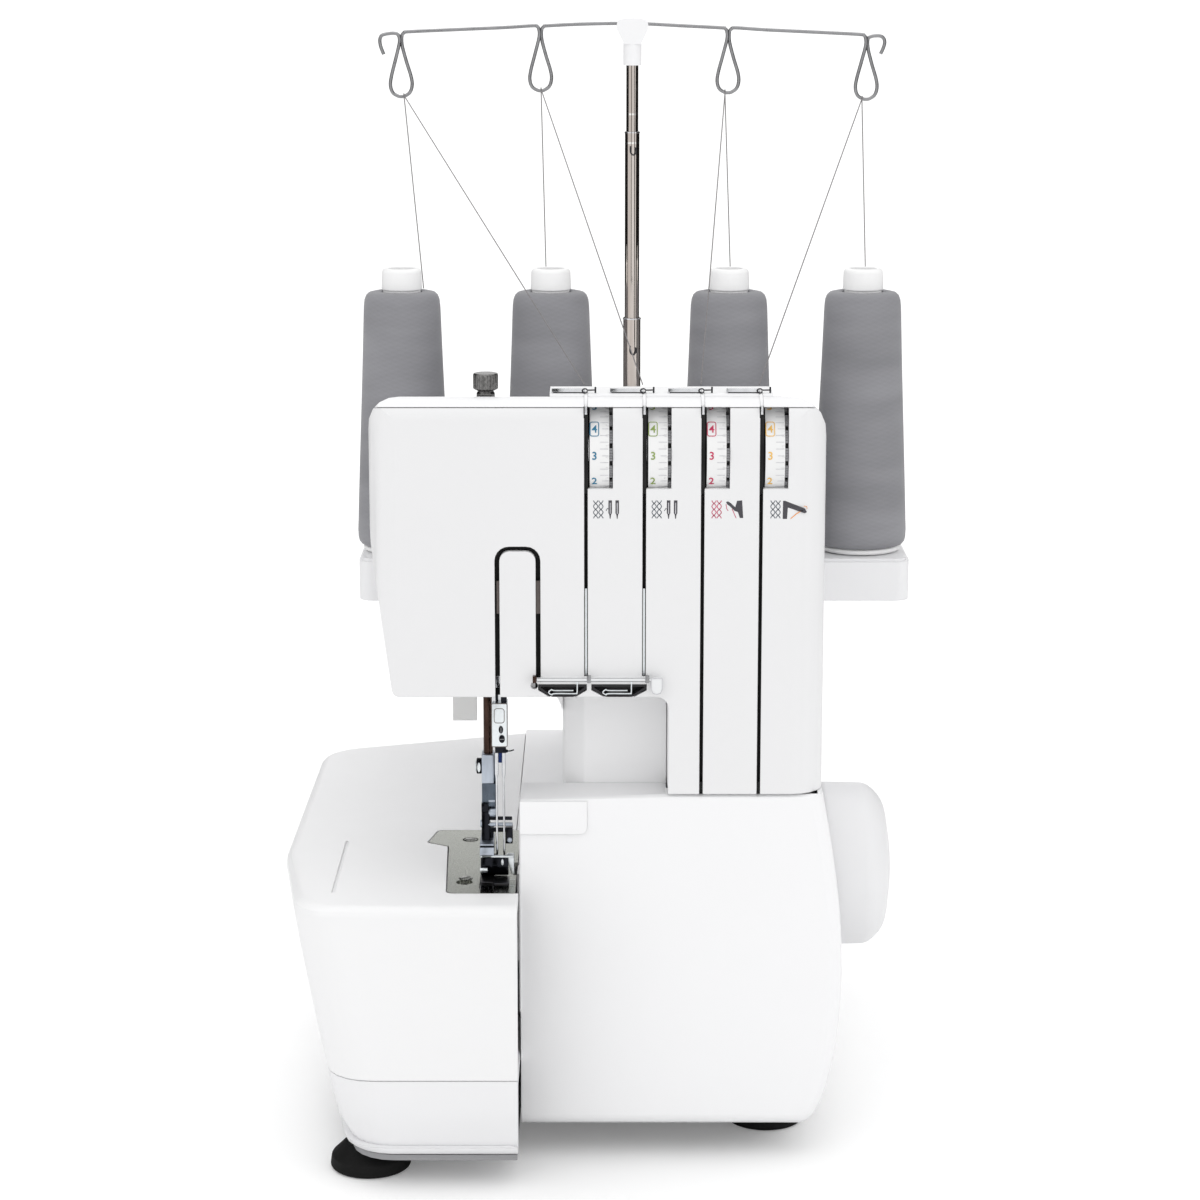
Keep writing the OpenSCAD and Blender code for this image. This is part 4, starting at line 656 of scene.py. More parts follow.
def finish_cad_nodes():
    """Better materials and clean edge shading on the CAD nodes that stay visible."""
    slots = {s["node"]: s["material_slot"] for s in frame["record"]["subparts"]}
    # The white copies given here to the column, front panel, front cover and lower housing carry painted
    # light and shade.
    special = {"front_panel": "panel_white_shaded", "top_cover": "cover_white", "column_panel": "column_white_brightened",
               "pressure_screw": "knurl_steel", "front_cover": "house_white_brightened", "lower_housing": "house_white_brightened",
               "clamp_screws": "toe_dark"}
    for name, obj in NODES.items():
        obj.data.materials.clear()
        obj.data.materials.append(MATERIALS[special.get(name, slots[name])])
        for polygon in obj.data.polygons:
            polygon.material_index = 0
            polygon.use_smooth = True
        weld = obj.modifiers.new("weld", "WELD")
        weld.merge_threshold = WELD * MM
        split = obj.modifiers.new("edges", "EDGE_SPLIT")
        split.split_angle = math.radians(SHARP)
        normals = obj.modifiers.new("normals", "WEIGHTED_NORMAL")
        normals.keep_sharp = True


finish_cad_nodes()

# ---------- Threads and their mast ----------

CONE_X = (-102.6, -30.7, 55.3, 119.9)
START_DX = (10.2, -2.3, 1.3, 2.3)
EYE_X = (-100.5, -35.1, 52.6, 118.0)
LOOP_X = (-101.6, -35.2, 54.0, 119.9)
MAST_X, MAST_Y = 8.4, 114.8
CONE_Z, CONE_H = 225.3, 123.5
WIRE_R, THREAD_R = 0.82, 0.25
LOOP_H = 30.4
LEAVE_R, LEAVE_Z = 11.4, 349.4  # where a thread leaves its cone
RAIL_Y, RAIL_Z = -97.6, 333.6  # where it enters the head


def bar_z(x):
    """Height of the guide wire's bar, which drops to both ends from the mast."""
    return 476.4 + 0.0425 * x if x < MAST_X else 476.5 - 0.0472 * x


def stretch(start, end, count):
    """Points evenly from start towards end, without the end."""
    a, b = Vector(start), Vector(end)
    return [a.lerp(b, k / count) for k in range(count)]


def make_thread(name, path):
    """Thread as a round tube along the path, riding the machine, with a mesh of its own."""
    length = sum((b - a).length for a, b in zip(path, path[1:]))
    obj = piece(name, tube(path, THREAD_R, 8), "thread_grey", "machine", 60)
    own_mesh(obj)
    return obj


for i in range(4):
    x, dx = EYE_X[i], START_DX[i]
    mid = bar_z(LOOP_X[i]) - LOOP_H + THREAD_R
    r = WIRE_R + 0.3
    start = (CONE_X[i] + dx, MAST_Y + math.sqrt(LEAVE_R ** 2 - dx ** 2), LEAVE_Z)
    up = stretch(start, (x, MAST_Y + r, mid), 24)
    up += [Vector((x, MAST_Y + r * math.cos(math.radians(a)), mid + r * math.sin(math.radians(a))))
           for a in range(0, 91, 10)]
    make_thread(f"thread_up_{i + 1}", up)
    down = [Vector((x, MAST_Y - r * math.sin(math.radians(a)), mid + r * math.cos(math.radians(a))))
            for a in (0, 8, 16, 24, 32, 40, 48, 56, 62)]
    end = Vector((SLOT[i] - 0.6, RAIL_Y, RAIL_Z))
    down += stretch(down.pop(), end, 40) + [end]
    make_thread(f"thread_down_{i + 1}", down)
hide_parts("threads")

# One bent wire: a hook, then bar and four eyelets whose legs meet at the bar
LOOP = ((-3.4, 0.1, 0), (-1.6, -0.3, -0.3), (-0.75, -1.7, -0.6), (-0.7, -5.2, -0.7), (-2.6, -12.8, -0.5),
        (-4.7, -20.8, -0.3), (-5.2, -25.2, -0.2), (-4.1, -28.6, -0.1), (-1.6, -30.2, 0), (0, -30.4, 0),
        (1.7, -30.1, 0), (4.1, -28.3, 0.1), (5.1, -24.9, 0.2), (4.6, -20.8, 0.3), (2.4, -13.6, 0.5),
        (0.55, -6.4, 0.7), (0.45, -2.0, 0.6), (1.5, -0.4, 0.3), (3.4, 0.1, 0))
bend = [(x, MAST_Y, z) for x, z in ((-109.8, 461.6), (-111.2, 465.2), (-111.6, 468.2), (-110.9, 470.2),
                                    (-109.2, 471), (-106.6, 471.4))]
for i, x in enumerate(LOOP_X):
    top = bar_z(x)
    for a, b, y in LOOP:
        low = -0.7 if (i == 0 and a < 0 and b > -2) or (i == 3 and a > 0 and b > -1) else 0
        bend.append((x + a, MAST_Y + y, top + b + low))
    if i < 3:
        step = (LOOP_X[i + 1] - x) / 4
        bend += [(x + step * k, MAST_Y, bar_z(x + step * k)) for k in (1, 2, 3)]
bend += [(x, MAST_Y, z) for x, z in ((126.2, 470.2), (127.8, 469), (128.3, 467), (127.6, 464.4),
                                     (126.4, 461.8))]
guide_wire = piece("guide_wire_detail", tube(spline(bend, 5), WIRE_R, 12), "wire_steel",
                   "mast_top", 60)
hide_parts("guide_wire")

# Ring and spring catch at each joint of the mast: height, tube radius and drop of the catch
CATCHES = (("mast_catch_low", "machine", 335.1, 4.22, 17),
           ("mast_catch_mid", "mast_middle", 424.4, 3.5, 10.4))
for name, body, z, r, drop in CATCHES:
    ring = lathe([(r - 0.05, 0), (r + 0.16, 0.1), (r + 0.2, 0.4), (r + 0.16, 0.7), (r - 0.05, 0.8)],
                 (MAST_X, MAST_Y, z), steps=48)
    low = z - drop
    bow = [(-0.9, -0.1, 4.4), (-0.8, -0.5, 1.4), (0.7, -0.6, 0.2), (1.9, -0.4, 1.6), (1.7, -0.1, 3.8)]
    clip = tube(spline([(MAST_X + a, MAST_Y - r + b, low + c) for a, b, c in bow], 6), 0.34, 8)
    piece(name, ring, "chrome", body)
    piece(name + "_clip", clip, "dark_steel", body)

# ---------- Cones of thread ----------

WINDING_STEPS, WINDING_GIRTH, WINDING_SHIFT = 128, 140, 37


def cone_winding():
    """Profile of a wound cone, from its foot up: (radius, height)."""
    foot_r, top_r = 22.75, 18.6
    ring = [(15.5, 0.5), (20.2, 0.0), (21.3, 0.35), (22.2, 1.5), (22.65, 3.4), (22.8, 7)]
    for k in range(1, 25):
        t = k / 24
        belly = 0.35 * math.sin(math.pi * t) * (t - 0.4)
        ring.append((foot_r + (top_r - foot_r) * t - belly, 7 + (CONE_H - 17) * t))
    ring += [(r, CONE_H - drop) for r, drop in ((18.45, 7), (18.1, 4), (17.3, 1.9), (16, 0.7), (13.5, 0.15),
                                                (10.6, 0), (9.8, 0.4), (9.6, 2))]
    return ring


def make_winding(i):
    """Wound cone. Its UV runs round and up the thread in millimetres, shifted from cone to cone."""
    ring = cone_winding()
    group = lathe(ring, (CONE_X[i], MAST_Y, CONE_Z), steps=WINDING_STEPS)
    obj = piece(f"winding_{i + 1}", group, "cone_thread", "machine", 60, close=False)
    mesh = obj.data
    layer = mesh.uv_layers.new(name="turns")
    n = len(ring)
    rise = [0.0]
    for a, b in zip(ring, ring[1:]):
        rise.append(rise[-1] + math.dist(a, b))
    for polygon in mesh.polygons:
        k = polygon.index // (n - 1)
        for loop in polygon.loop_indices:
            v = mesh.loops[loop].vertex_index
            column, row = v // n, v % n
            if k == WINDING_STEPS - 1 and column == 0:
                column = WINDING_STEPS
            layer.data[loop].uv = (column / WINDING_STEPS * WINDING_GIRTH + i * WINDING_SHIFT, rise[row])
    return obj


windings = [make_winding(i) for i in range(4)]
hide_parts("thread_cones")

# ---------- Guides on the head ----------

RAIL_TOP = 330.4


def dense(points, step=0.7):
    """Closed outline with a point at least at each step."""
    out = []
    n = len(points)
    for i in range(n):
        a, b = points[i], points[(i + 1) % n]
        k = max(1, int(math.dist(a, b) / step))
        out += [(a[0] + (b[0] - a[0]) * t / k, a[1] + (b[1] - a[1]) * t / k) for t in range(k)]
    return out


for i, x in enumerate(SLOT):
    low = RAIL_TOP + 0.1
    plate = merge(block((x - 14.2, -100.3, low), (x - 0.4, -99.7, low + 1.9)),
                  block((x - 14.2, -99.7, low), (x - 0.4, -95.5, low + 0.5)))
    guide = piece(f"guide_plate_{i + 1}", plate, "bright_steel", "machine", bevel=0.15)
    eye = [(x + 1.05 * math.cos(t) - 0.4, -100.6 + 0.25 * math.sin(t), low + 0.9 + 0.85 * math.sin(t))
           for t in (0.4, 1.2, 2, 2.8, 3.6, 4.4, 5.2, 6.0)]
    trim = merge(block((x - 13.6, -100.4, low - 0.05), (x - 0.4, -100.25, low + 0.35)),
                 tube([(x + 0.4, -100, low + 1.1), (x + 3.9, -100, low + 1.2)], 0.3, 8),
                 tube([(x + 3.9, -100, low), (x + 3.9, -100, low + 2.5)], 0.38, 8),
                 tube(spline(eye, 4), 0.3, 8))
    piece(f"guide_trim_{i + 1}", trim, "dark_steel", "machine")
    if i == 0:
        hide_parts("thread_guides")

# Clear guide bar below the first two slots, its tab, and the wire in each cup
guide_bar = piece("guide_bar", block((-33.4, -116.2, 211.7), (14.2, -114.4, 213.1)), "clear_white",
                  "machine", bevel=0.3)
line = merge(block((-33.2, -116.3, 211.55), (14, -116.15, 211.8)),
             block((-33.2, -116.3, 213.0), (14, -116.15, 213.15)))
piece("guide_bar_edges", line, "wire_steel", "machine")
tab = [(14.2, 213.0), (19.0, 213.0), (19.0, 208.3), (18.3, 206.6), (16.6, 206), (14.9, 206.6), (14.2, 208.3)]
piece("guide_knob", merge(prism(tab, -116.2, -114.0), block((15.6, -114.2, 208), (17.6, -111.6, 211))),
      "clear_white", "machine", bevel=0.4)
inner = dense([(a * 0.96 + 0.66, b * 0.98 + 4.2) for a, b in tab])
piece("guide_knob_edge", put(ribbon(inner, 0.3, True), lambda u, v: (u, -116.28, v)), "tick_grey",
      "machine", close=False)
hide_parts("needle_thread_guide")
for k, x in enumerate((-34.2, -11.6, 12.7)):
    joint = merge(block((x - 0.8, -116.5, 211.0), (x + 0.8, -113.6, 213.9)),
                  block((x - 0.35, -113.7, 211.6), (x + 0.35, -111.6, 212.6)))
    metal = "wire_steel" if k else "presser_dark"
    piece(f"guide_joint_{k + 1}", joint, metal, "machine", bevel=0.2)
CUP_WIRE_X, CUP_PITCH = -16.5, 22.6
for k in range(2):
    x = CUP_WIRE_X + CUP_PITCH * k
    wire = [(x, -112.9, 211.6), (x, -112.5, 208.6), (x - 0.1, -112.4, 206.0), (x - 0.8, -112.4, 205.6),
            (x - 9.4, -112.4, 205.6), (x - 10.6, -112.4, 205.1), (x - 11.9, -112.4, 206.2),
            (x - 10.6, -112.3, 207.3), (x - 9.4, -112.3, 206.9), (x - 1.6, -112.3, 206.9)]
    piece(f"cup_wire_{k + 1}", tube(spline(wire, 5), 0.3, 8), "clamp_light", "machine")

# ---------- Tension dials ----------

INKS = ("ink_blue", "ink_green", "ink_red", "ink_yellow")
DIAL_Y, DIAL_Z, DIAL_R = -91.0, 305.5, 22.0
FIRST, STEP = 2, 29.3  # degrees: where the 3 stands, and from one number to the next
RIB_GROUPS, RIBS, RIB_ROOT = 18, 5, 19.8


def on_drum(x, angle):
    """Carries a flat mark to the rim of a dial, just above its face."""
    def place(u, v):
        a = math.radians(angle) + v / DIAL_R
        r = DIAL_R + 0.14
        return (x + u, DIAL_Y - r * math.cos(a), DIAL_Z + r * math.sin(a))
    return place


DIGITS = {c: glyph(c, 3.3) for c in "0123456789"}
for i, x in enumerate(SLOT):
    body = f"tension_dial_{i + 1}"
    digits = [put(DIGITS[str(d)], on_drum(x + 3.5, FIRST + STEP * (d - 3))) for d in range(10)]
    frame_line = ribbon(dense(rounded(-1.75, -3.1, 1.75, 3.1, 0.8)), 0.36, True)
    digits.append(put(frame_line, on_drum(x + 3.5, FIRST + STEP)))
    piece(f"dial_digits_{i + 1}", merge(*digits), INKS[i], body, close=False)
    ticks = []
    for d in range(-12, 25):
        wide = 3.4 if d % 4 else 2.6
        line = [(9.2 - wide, 0), (9.2, 0)]
        ticks.append(put(ribbon(line, 0.22), on_drum(x, FIRST + STEP * d / 4)))
    piece(f"dial_ticks_{i + 1}", merge(*ticks), "tick_grey", body, close=False)
    core = lathe([(3.7, 9.62), (19.9, 9.62), (19.9, 10.95), (3.7, 10.95)], (x, DIAL_Y, DIAL_Z), "x", 72, True)
    back = lathe([(3.7, 1.25), (21.9, 1.25), (21.9, 1.58), (3.7, 1.58)], (x, DIAL_Y, DIAL_Z), "x", 72, True)
    piece(f"dial_shade_{i + 1}", merge(core, back), "shade_black", body)
    teeth = []
    for k in range(RIB_GROUPS):
        for rib in range(RIBS):
            a = [math.radians(-4.2 + 20 * k + 14.5 * (rib + t) / RIBS) for t in (0.06, 0.5, 0.94)]
            edge = zip((RIB_ROOT, 21.5, 21.8, 21.5, RIB_ROOT), (a[0], *a, a[2]))
            outline = [(DIAL_Y - r * math.cos(w), DIAL_Z + r * math.sin(w)) for r, w in edge]
            teeth.append(prism(outline, x + 9.66, x + 10.9, "x"))
    piece(f"dial_ribs_{i + 1}", merge(*teeth), "rib_grey", body)

# ---------- Marks below the dials ----------

MARK_Y, MARK_Z = -112.05, 283.7


def on_front(x, lift=0):
    """Carries a flat mark to the head's front below the dials."""
    return lambda u, v: (x + u, MARK_Y - lift, MARK_Z + v)


def lattice(x):
    """Two columns of crossing waves: the mark of an overlock chain."""
    parts = []
    for centre in (-1.08, 1.08):
        for side in (-1, 1):
            line = [(centre + side * 0.86 * math.cos(math.pi * k / 10), -3.75 + 7.5 * k / 30)
                    for k in range(31)]
            parts.append(put(ribbon(line, 0.36), on_front(x)))
    return merge(*parts)


def shape(outline, x):
    """Filled mark at the column x."""
    return put((outline, [tuple(range(len(outline)))]), on_front(x))


def needle_mark(x, wide):
    return shape([(-wide, 3.8), (wide, 3.8), (wide, -1.6), (wide * 0.5, -2.2), (0.16, -3.9), (-0.16, -3.9),
                  (-wide * 0.5, -2.2), (-wide, -1.6)], x)


def mark(name, group, ink_name):
    piece(name, group, ink_name, "machine", close=False)


for i, x in enumerate(SLOT):
    mark(f"mark_chain_{i + 1}", lattice(x + (5.1, 5.1, 5.7, 5.9)[i]), "ink_mauve" if i == 2 else "ink_slate")
for i, x in enumerate(SLOT[:2]):
    bodies = [needle_mark(x + 10.0, 0.72), needle_mark(x + 12.9, 0.72)]
    bodies.append(put(ribbon([(-1.9, -0.6), (-1.3, 0.5), (-0.6, -0.2)], 0.3), on_front(x + 10.2)))
    mark(f"mark_needles_{i + 1}", merge(*bodies), "ink_dark")
    slits = [put(ribbon([(0, -1.8), (0, 2.8)], 0.34), on_front(x + a, 0.05)) for a in (10.0, 12.9)]
    mark(f"mark_slits_{i + 1}", merge(*slits), "tick_grey")
x = SLOT[2]
looper = [(9.6, 3.1), (10.4, 3.4), (11.6, 2.6), (13.4, 0.9), (14.1, 3.6), (16.2, 3.8), (16.7, -3.6),
          (15.3, -3.6), (14.5, -1.1), (13.1, -0.6), (11.2, 1.3), (10.0, 2.2)]
mark("mark_looper_3", shape(looper, x), "ink_dark")
red = [ribbon([(9.6, 2.2), (9.9, 0.2), (10.5, -0.6)], 0.3), ribbon([(12.1, 0.2), (13.8, -3.7)], 0.3)]
mark("mark_thread_3", merge(*(put(r, on_front(x)) for r in red)), "ink_mauve")
x = SLOT[3]
looper = [(9.0, 3.6), (9.9, 3.6), (18.0, 0.4), (18.9, -1.1), (18.0, -1.6), (11.0, 0.8), (10.7, -4), (8.9, -4)]
mark("mark_looper_4", shape(looper, x), "ink_dark")
orange = [ribbon([(12.2, -3.9), (14.5, -1.9), (17.2, -0.2)], 0.36),
          ribbon([(17.6, 1.4), (18.8, 1.2), (18.9, 0.2)], 0.3)]
mark("mark_thread_4", merge(*(put(r, on_front(x)) for r in orange)), "ink_orange")

# ---------- Behind the slots ----------

# Painted shade: black sheets behind the front panel, seen through its slots, stand in for the shade inside
# the head.
shade_sheets = [block((-54, -107.6, 212), (82, -107.2, 289)), block((24, -107.6, 166), (82, -107.2, 212))]
piece("slot_shade_sheet", merge(*shade_sheets), "shade_black", "machine")
plates = [block((a, -109.2, 239), (b, -108.8, 253)) for a, b in ((-50.0, -48.6), (-33.6, -31.8))]
piece("take_up_plate", merge(*plates), "lever_dim", "machine")
strips = [block((x - 0.42, -110.6, 213), (x + 0.42, -110.2, 250)) for x in SLOT[:2]]
piece("slot_strips", merge(*strips), "clamp_light", "machine")
# Painted shade: black strips at the slots' lower ends and behind their upper parts.
ends = [block((x - 0.74, -110.95, 162.4), (x + 0.74, -110.82, 167)) for x in SLOT[2:]]
ends += [block((x - 0.9, -110.9, 290), (x + 0.9, -110.7, 325.9)) for x in SLOT]
piece("slot_end_shade", merge(*ends), "shade_black", "machine")
fill = [(-108.8, 326.1), (-108.2, 327), (-105.6, 328.6), (-102.6, 329.5), (-102, 330.1), (-94.3, 330.1),
        (-94.3, 326.1)]
fills = [prism(fill, x - 0.73, x + 0.73, "x") for x in SLOT]
piece("slot_fill", merge(*fills), "shell_white", "machine")
tips = [block((x - 0.5, -112.3, 323.2), (x + 0.5, -111.2, 326.6)) for x in SLOT]
piece("slot_tips", merge(*tips), "bright_steel", "machine", bevel=0.2)

# ---------- Side controls ----------

SIDE_DIAL_X, SIDE_DIAL_Z, SIDE_DIAL_R = 97.5, 100, 15


def on_side_dial(y, angle):
    """Carries a flat mark to the rim of a dial on the right side."""
    def place(u, v):
        a, r = math.radians(angle) + u / SIDE_DIAL_R, SIDE_DIAL_R + 0.12
        return (SIDE_DIAL_X + v, y - r * math.cos(a), SIDE_DIAL_Z + r * math.sin(a))
    return place


for name, body, y in (("stitch_digits", "stitch_length_dial", 20), ("feed_digits", "feed_dial", 62)):
    parts = [put(DIGITS[str(d)], on_side_dial(y, 20 + 42 * (d - 1))) for d in range(1, 8)]
    piece(name, merge(*parts), "ink_slate", body, close=False)

SWITCH_AT, SWITCH_TILT = (92.5, 100, 60), math.radians(6)


def on_switch(v0):
    """Carries a flat mark to the rocker, v0 above its middle."""
    def place(u, v):
        a, b = 3.24, v0 + v
        c, s = math.cos(SWITCH_TILT), math.sin(SWITCH_TILT)
        return (SWITCH_AT[0] + a * c + b * s + 0.05, SWITCH_AT[1] + u, SWITCH_AT[2] - a * s + b * c)
    return place


ring = [(1.7 * math.cos(math.radians(a)), 1.7 * math.sin(math.radians(a))) for a in range(0, 360, 15)]
switch = merge(put(ribbon([(0, -1.6), (0, 1.6)], 0.5), on_switch(5.6)),
               put(ribbon(ring, 0.45, True), on_switch(-5.6)))
piece("switch_marks", switch, "tick_grey", "power_switch", close=False)

# ---------- Small fixings ----------


def screw_head(x, y, z, r, turn):
    """Domed head and its slot, turned by turn degrees."""
    a = math.radians(turn)
    along, across = (math.cos(a), math.sin(a)), (-math.sin(a), math.cos(a))
    outline = [(x + along[0] * u + across[0] * v, y + along[1] * u + across[1] * v)
               for u, v in ((-r * 0.72, -0.32), (r * 0.72, -0.32), (r * 0.72, 0.32), (-r * 0.72, 0.32))]
    dome = [(0, -1.2), (r - 0.2, -1.2), (r, -0.9), (r, 0.05), (r - 0.4, 0.28), (0, 0.34)]
    return lathe(dome, (x, y, z), steps=40), prism(outline, z + 0.2, z + 0.4, "z")


heads = [screw_head(-64.0, -104.5, 122.85, 2.9, 40), screw_head(-64.4, -48, 122.7, 2.9, 20)]
plate_screws = piece("plate_screw_heads", merge(*(h[0] for h in heads)), "screw_grey", "machine")
piece("plate_screw_slots", merge(*(h[1] for h in heads)), "toe_dark", "machine")
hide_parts("plate_screws")

# Rounded corner between the head and the column
corner = [(-23.2, 204.2), (-40.5, 204.2), (-40.5, 203.7)]
corner += [(-38.5 + 15.3 * math.sin(math.radians(a)), 190 + 13.6 * math.cos(math.radians(a)))
           for a in range(0, 91, 6)]
piece("column_corner", prism(corner, -84.8, -71), "column_white_brightened", "machine", bevel=0.6)

# ---------- Parting between the base and the front cover: the strip is the cover's ----------

strip = block((-41.15, -112.9, 66), (-40.87, -104, 161.2))
piece("parting_strip", strip, "shell_white", "front_cover")

# ---------- Needle clamp ----------


def oval(x, z, rx, rz, steps=24):
    turns = [2 * math.pi * k / steps for k in range(steps)]
    return [(x + rx * math.cos(a), z + rz * math.sin(a)) for a in turns]


def on_plane(y):
    return lambda u, v: (u, y, v)


CLAMP_LINE_Y = -107.36
clamp = "needle_assembly"
stem = merge(block((-52.4, -106.2, 200), (-50.9, -98.5, 280)),
             block((-50.9, -106.2, 272), (-44.4, -98.5, 280)))
clamp_body = piece("clamp_stem", stem, "bright_steel", clamp, bevel=0.2)
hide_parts("needle_clamp")
piece("clamp_face", prism(rounded(-52.6, 181.2, -45.9, 200.0, 0.5), -107.3, -98.5), "clamp_light",
      clamp, bevel=0.12)
lines = merge(put(ribbon(dense(rounded(-52.5, 181.3, -46.0, 199.9, 0.5)), 0.3, True), on_plane(CLAMP_LINE_Y)),
              put(ribbon(dense(rounded(-51.4, 191.6, -47.2, 197.8, 1.1)), 0.3, True), on_plane(CLAMP_LINE_Y)))
piece("clamp_lines", lines, "lever_dim", clamp, close=False)
screws = merge(prism(oval(-48.6, 188.7, 0.95, 1.6), -107.9, -107.2),
               prism(oval(-48.2, 184.7, 1.25, 1.7), -107.9, -107.2))
clamp_screws = piece("clamp_screw_heads", screws, "toe_dark", clamp, bevel=0.2)
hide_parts("clamp_screws")
slits = merge(prism([(-48.7, 187.6), (-48.45, 187.6), (-48.45, 189.8), (-48.7, 189.8)], -107.98, -107.85),
              prism([(-49.2, 184.5), (-47.2, 184.6), (-47.2, 184.85), (-49.2, 184.75)], -107.98, -107.85))
piece("clamp_screw_slots", slits, "wire_steel", clamp)
hook = spline([(-47.6, -106.2, 179.2), (-46.4, -106.9, 179.4), (-44.8, -107, 179.4), (-43.2, -107, 179.9)], 5)
bead = [(0, -0.75), (0.5, -0.55), (0.75, 0), (0.5, 0.55), (0, 0.75)]
dark = merge(block((-51.2, -106.0, 178.2), (-46.6, -103.4, 181.2)),
             block((-52.2, -105.5, 200), (-50.4, -102, 203.8)),
             block((-48.2, -105.5, 200), (-46.2, -102, 203.8)),
             tube(hook, 0.28, 8), lathe(bead, (-46.3, -107.1, 179.4), steps=16))
piece("clamp_dark", dark, "toe_dark", clamp)

wedge = prism([(-50.9, 180), (-46.9, 180), (-47.9, 172.6), (-49.9, 172.6)], -100.9, -100.4)
piece("clamp_wedge", wedge, "wedge_blue", clamp)

# ---------- Presser foot ----------

foot = "presser_assembly"


def bar_x(x0, x1, y, z, r):
    """Round bar along x."""
    return prism(oval(y, z, r, r, 28), x0, x1, "x")


def foot_piece(name, group, material, bevel):
    """Part of the foot, which goes up with the presser bar."""
    return piece(name, group, material, foot, bevel=bevel)


shank = foot_piece("foot_shank", block((-57.2, -98.2, 162.6), (-52.1, -89.8, 175.2)), "shank_blue", 0.4)
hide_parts("presser_foot")
low = merge(block((-57.2, -98, 152.4), (-51.2, -90, 162.6)),
            block((-52.1, -96, 162.6), (-50.9, -90.4, 174.6)))
foot_piece("foot_shank_low", low, "shank_dim", 0.4)
ankle = [(-101, 137.2), (-99.2, 146), (-97.4, 152.6), (-90.4, 152.6), (-88, 144), (-86, 137.2)]
ankle = merge(prism(ankle, -57.4, -53.9, "x"), block((-57.4, -99.4, 150.4), (-54.4, -90, 154)))
foot_piece("foot_ankle", ankle, "toe_dark", 0.3)
bright = merge(bar_x(-54.6, -44.2, -98.6, 144.8, 0.85), bar_x(-54.4, -50.6, -95.8, 149.4, 2.5),
               bar_x(-57.9, -57.2, -98, 145, 1.6), bar_x(-54.4, -51.6, -96.9, 154.9, 1.2))
foot_piece("foot_pins", bright, "shank_blue", 0.15)
dark = merge(bar_x(-54.2, -44.4, -97.4, 147.2, 0.8), bar_x(-54.2, -44.2, -98.2, 142.4, 1.0),
             block((-47.2, -99.6, 136.6), (-44.2, -93, 143)),
             block((-57.9, -106.4, 136.9), (-52, -90, 137.7)), block((-54, -97, 138), (-52.4, -90, 143)))
foot_piece("foot_inner", dark, "toe_dark", 0.15)
plates = merge(block((-57.9, -106.6, 137.7), (-52, -90, 138.4)),
               prism(oval(-45.4, 138.4, 1.1, 1.1), -100.4, -99.4),
               prism([(-107.2, 133.6), (-106.4, 136.9), (-98, 136.9), (-98, 133.6)], -57.9, -51.9, "x"))
foot_piece("foot_plates", plates, "shank_blue", 0.2)
top = merge(prism(rounded(-57.7, -108, -52.3, -92, 0.8), 132.9, 133.7, "z"),
            prism(rounded(-57.7, -108, -43.4, -106.2, 0.6), 132.9, 133.7, "z"),
            prism([(-46.6, 133.6), (-43.4, 133.6), (-43.4, 125.4), (-44.6, 125.4)], -106.8, -103))
foot_piece("foot_top", top, "clamp_light", 0.2)
nose = [(-107.6, 132.9), (-108.6, 130), (-108.2, 127), (-106.6, 124.8)]
body = merge(prism(nose + [(-103, 124.5), (-92, 124.5), (-92, 132.9)], -57.5, -52.6, "x"),
             prism(nose + [(-103.4, 124.5), (-103.4, 132.9)], -53, -45.8, "x"))
foot_piece("foot_body", body, "toe_dark", 0.4)
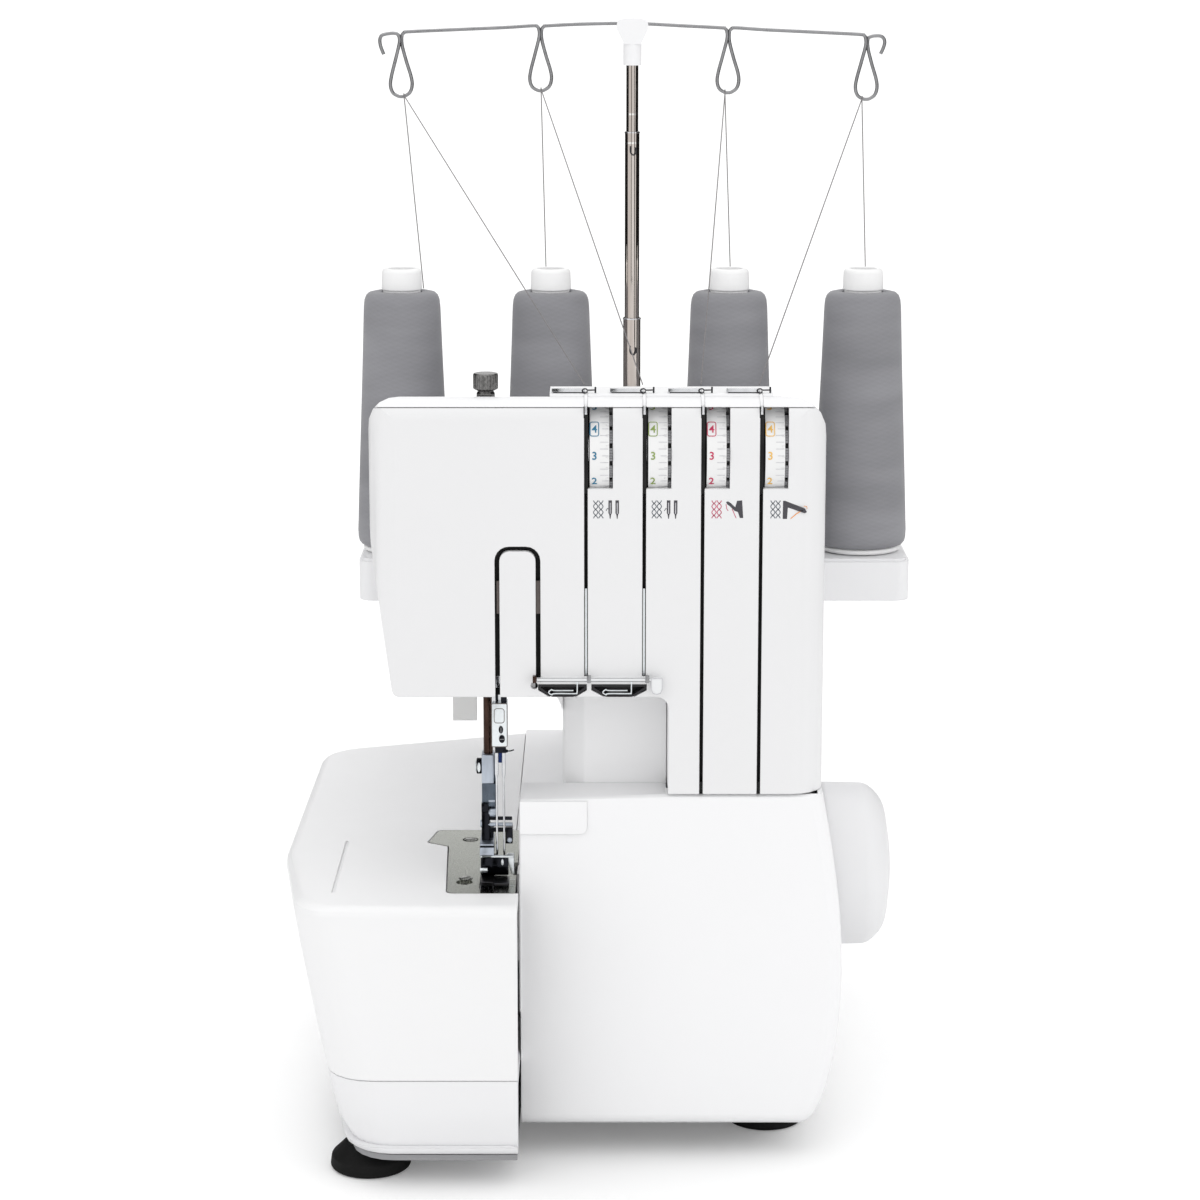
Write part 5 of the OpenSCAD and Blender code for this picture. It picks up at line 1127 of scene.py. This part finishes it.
# Painted highlight: a bright bar and oval on the black foot's nose stand in for its glints.
glint_spots = merge(bar_x(-57.9, -54.6, -108.3, 127.6, 1.15), prism(oval(-48.3, 131.2, 0.55, 1.35), -109.0, -108.2))
foot_piece("foot_glint_spots", glint_spots, "clamp_light", 0.12)
runner = [(-122.9, 126.6), (-122.3, 126.9), (-116, 124.6), (-92, 124.6), (-80.4, 126.4), (-80, 125.4),
          (-84, 123.1), (-116, 123.1)]
toe = [(-107.4, 124.6), (-107.4, 123.1), (-114, 123.1), (-118, 123.8), (-118, 124.9), (-113, 124.6)]
sole = merge(prism(runner, -57.4, -51.8, "x"), prism(toe, -51.8, -45.4, "x"))
foot_piece("foot_sole", sole, "dark_steel", 0.2)

foot_screw = piece("foot_screw_head", bar_x(-59.5, -57.2, -94, 169.4, 3.4), "toe_dark", foot,
                   bevel=0.4)
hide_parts("foot_screw")
# Painted highlight: a bright disc and oval on the dark screw head stand in for its glint.
glint = merge(bar_x(-59.9, -59.3, -94, 169.4, 2.3), prism(oval(-58.4, 169.6, 0.7, 2.1), -97.75, -97.2))
piece("foot_screw_glint", glint, "clamp_light", foot, bevel=0.15)

# ---------- Marks on the needle plate ----------

PLATE_MARK_Z = 122.86


def bar_flat(x0, y0, x1, y1):
    """Flat bar lying just above the plate."""
    return [(x, y, PLATE_MARK_Z) for x, y in ((x0, y0), (x1, y0), (x1, y1), (x0, y1))], [(0, 1, 2, 3)]


marks = merge(bar_flat(-50.2, -107.4, -48.8, -105.2), bar_flat(-47.6, -107.0, -46.4, -105.4),
              bar_flat(-49.8, -116.2, -46.2, -113.6), bar_flat(-45.6, -106.6, -43.0, -106.2),
              bar_flat(-45.6, -115.0, -43.0, -114.6))
piece("plate_marks", marks, "clamp_light", "machine", close=False)

# ---------- Presser spring ------------------------------------------------

SPRING_X, SPRING_Y, SPRING_R = -54.45, -94.0, 3.75
SPRING_LOW, SPRING_TOP, SPRING_TURNS, TURN_STEPS = 240.8, 289.3, 9, 20
coil = []
for k in range(SPRING_TURNS * TURN_STEPS + 1):
    a, t = 2 * math.pi * k / TURN_STEPS, k / (SPRING_TURNS * TURN_STEPS)
    coil.append((SPRING_X + SPRING_R * math.cos(a), SPRING_Y + SPRING_R * math.sin(a),
                 SPRING_LOW + (SPRING_TOP - SPRING_LOW) * t))
spring = piece("spring_coil", tube(coil, 0.4, 8), "bright_steel", "machine", 60)
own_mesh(spring)
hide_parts("presser_spring")

low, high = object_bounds()
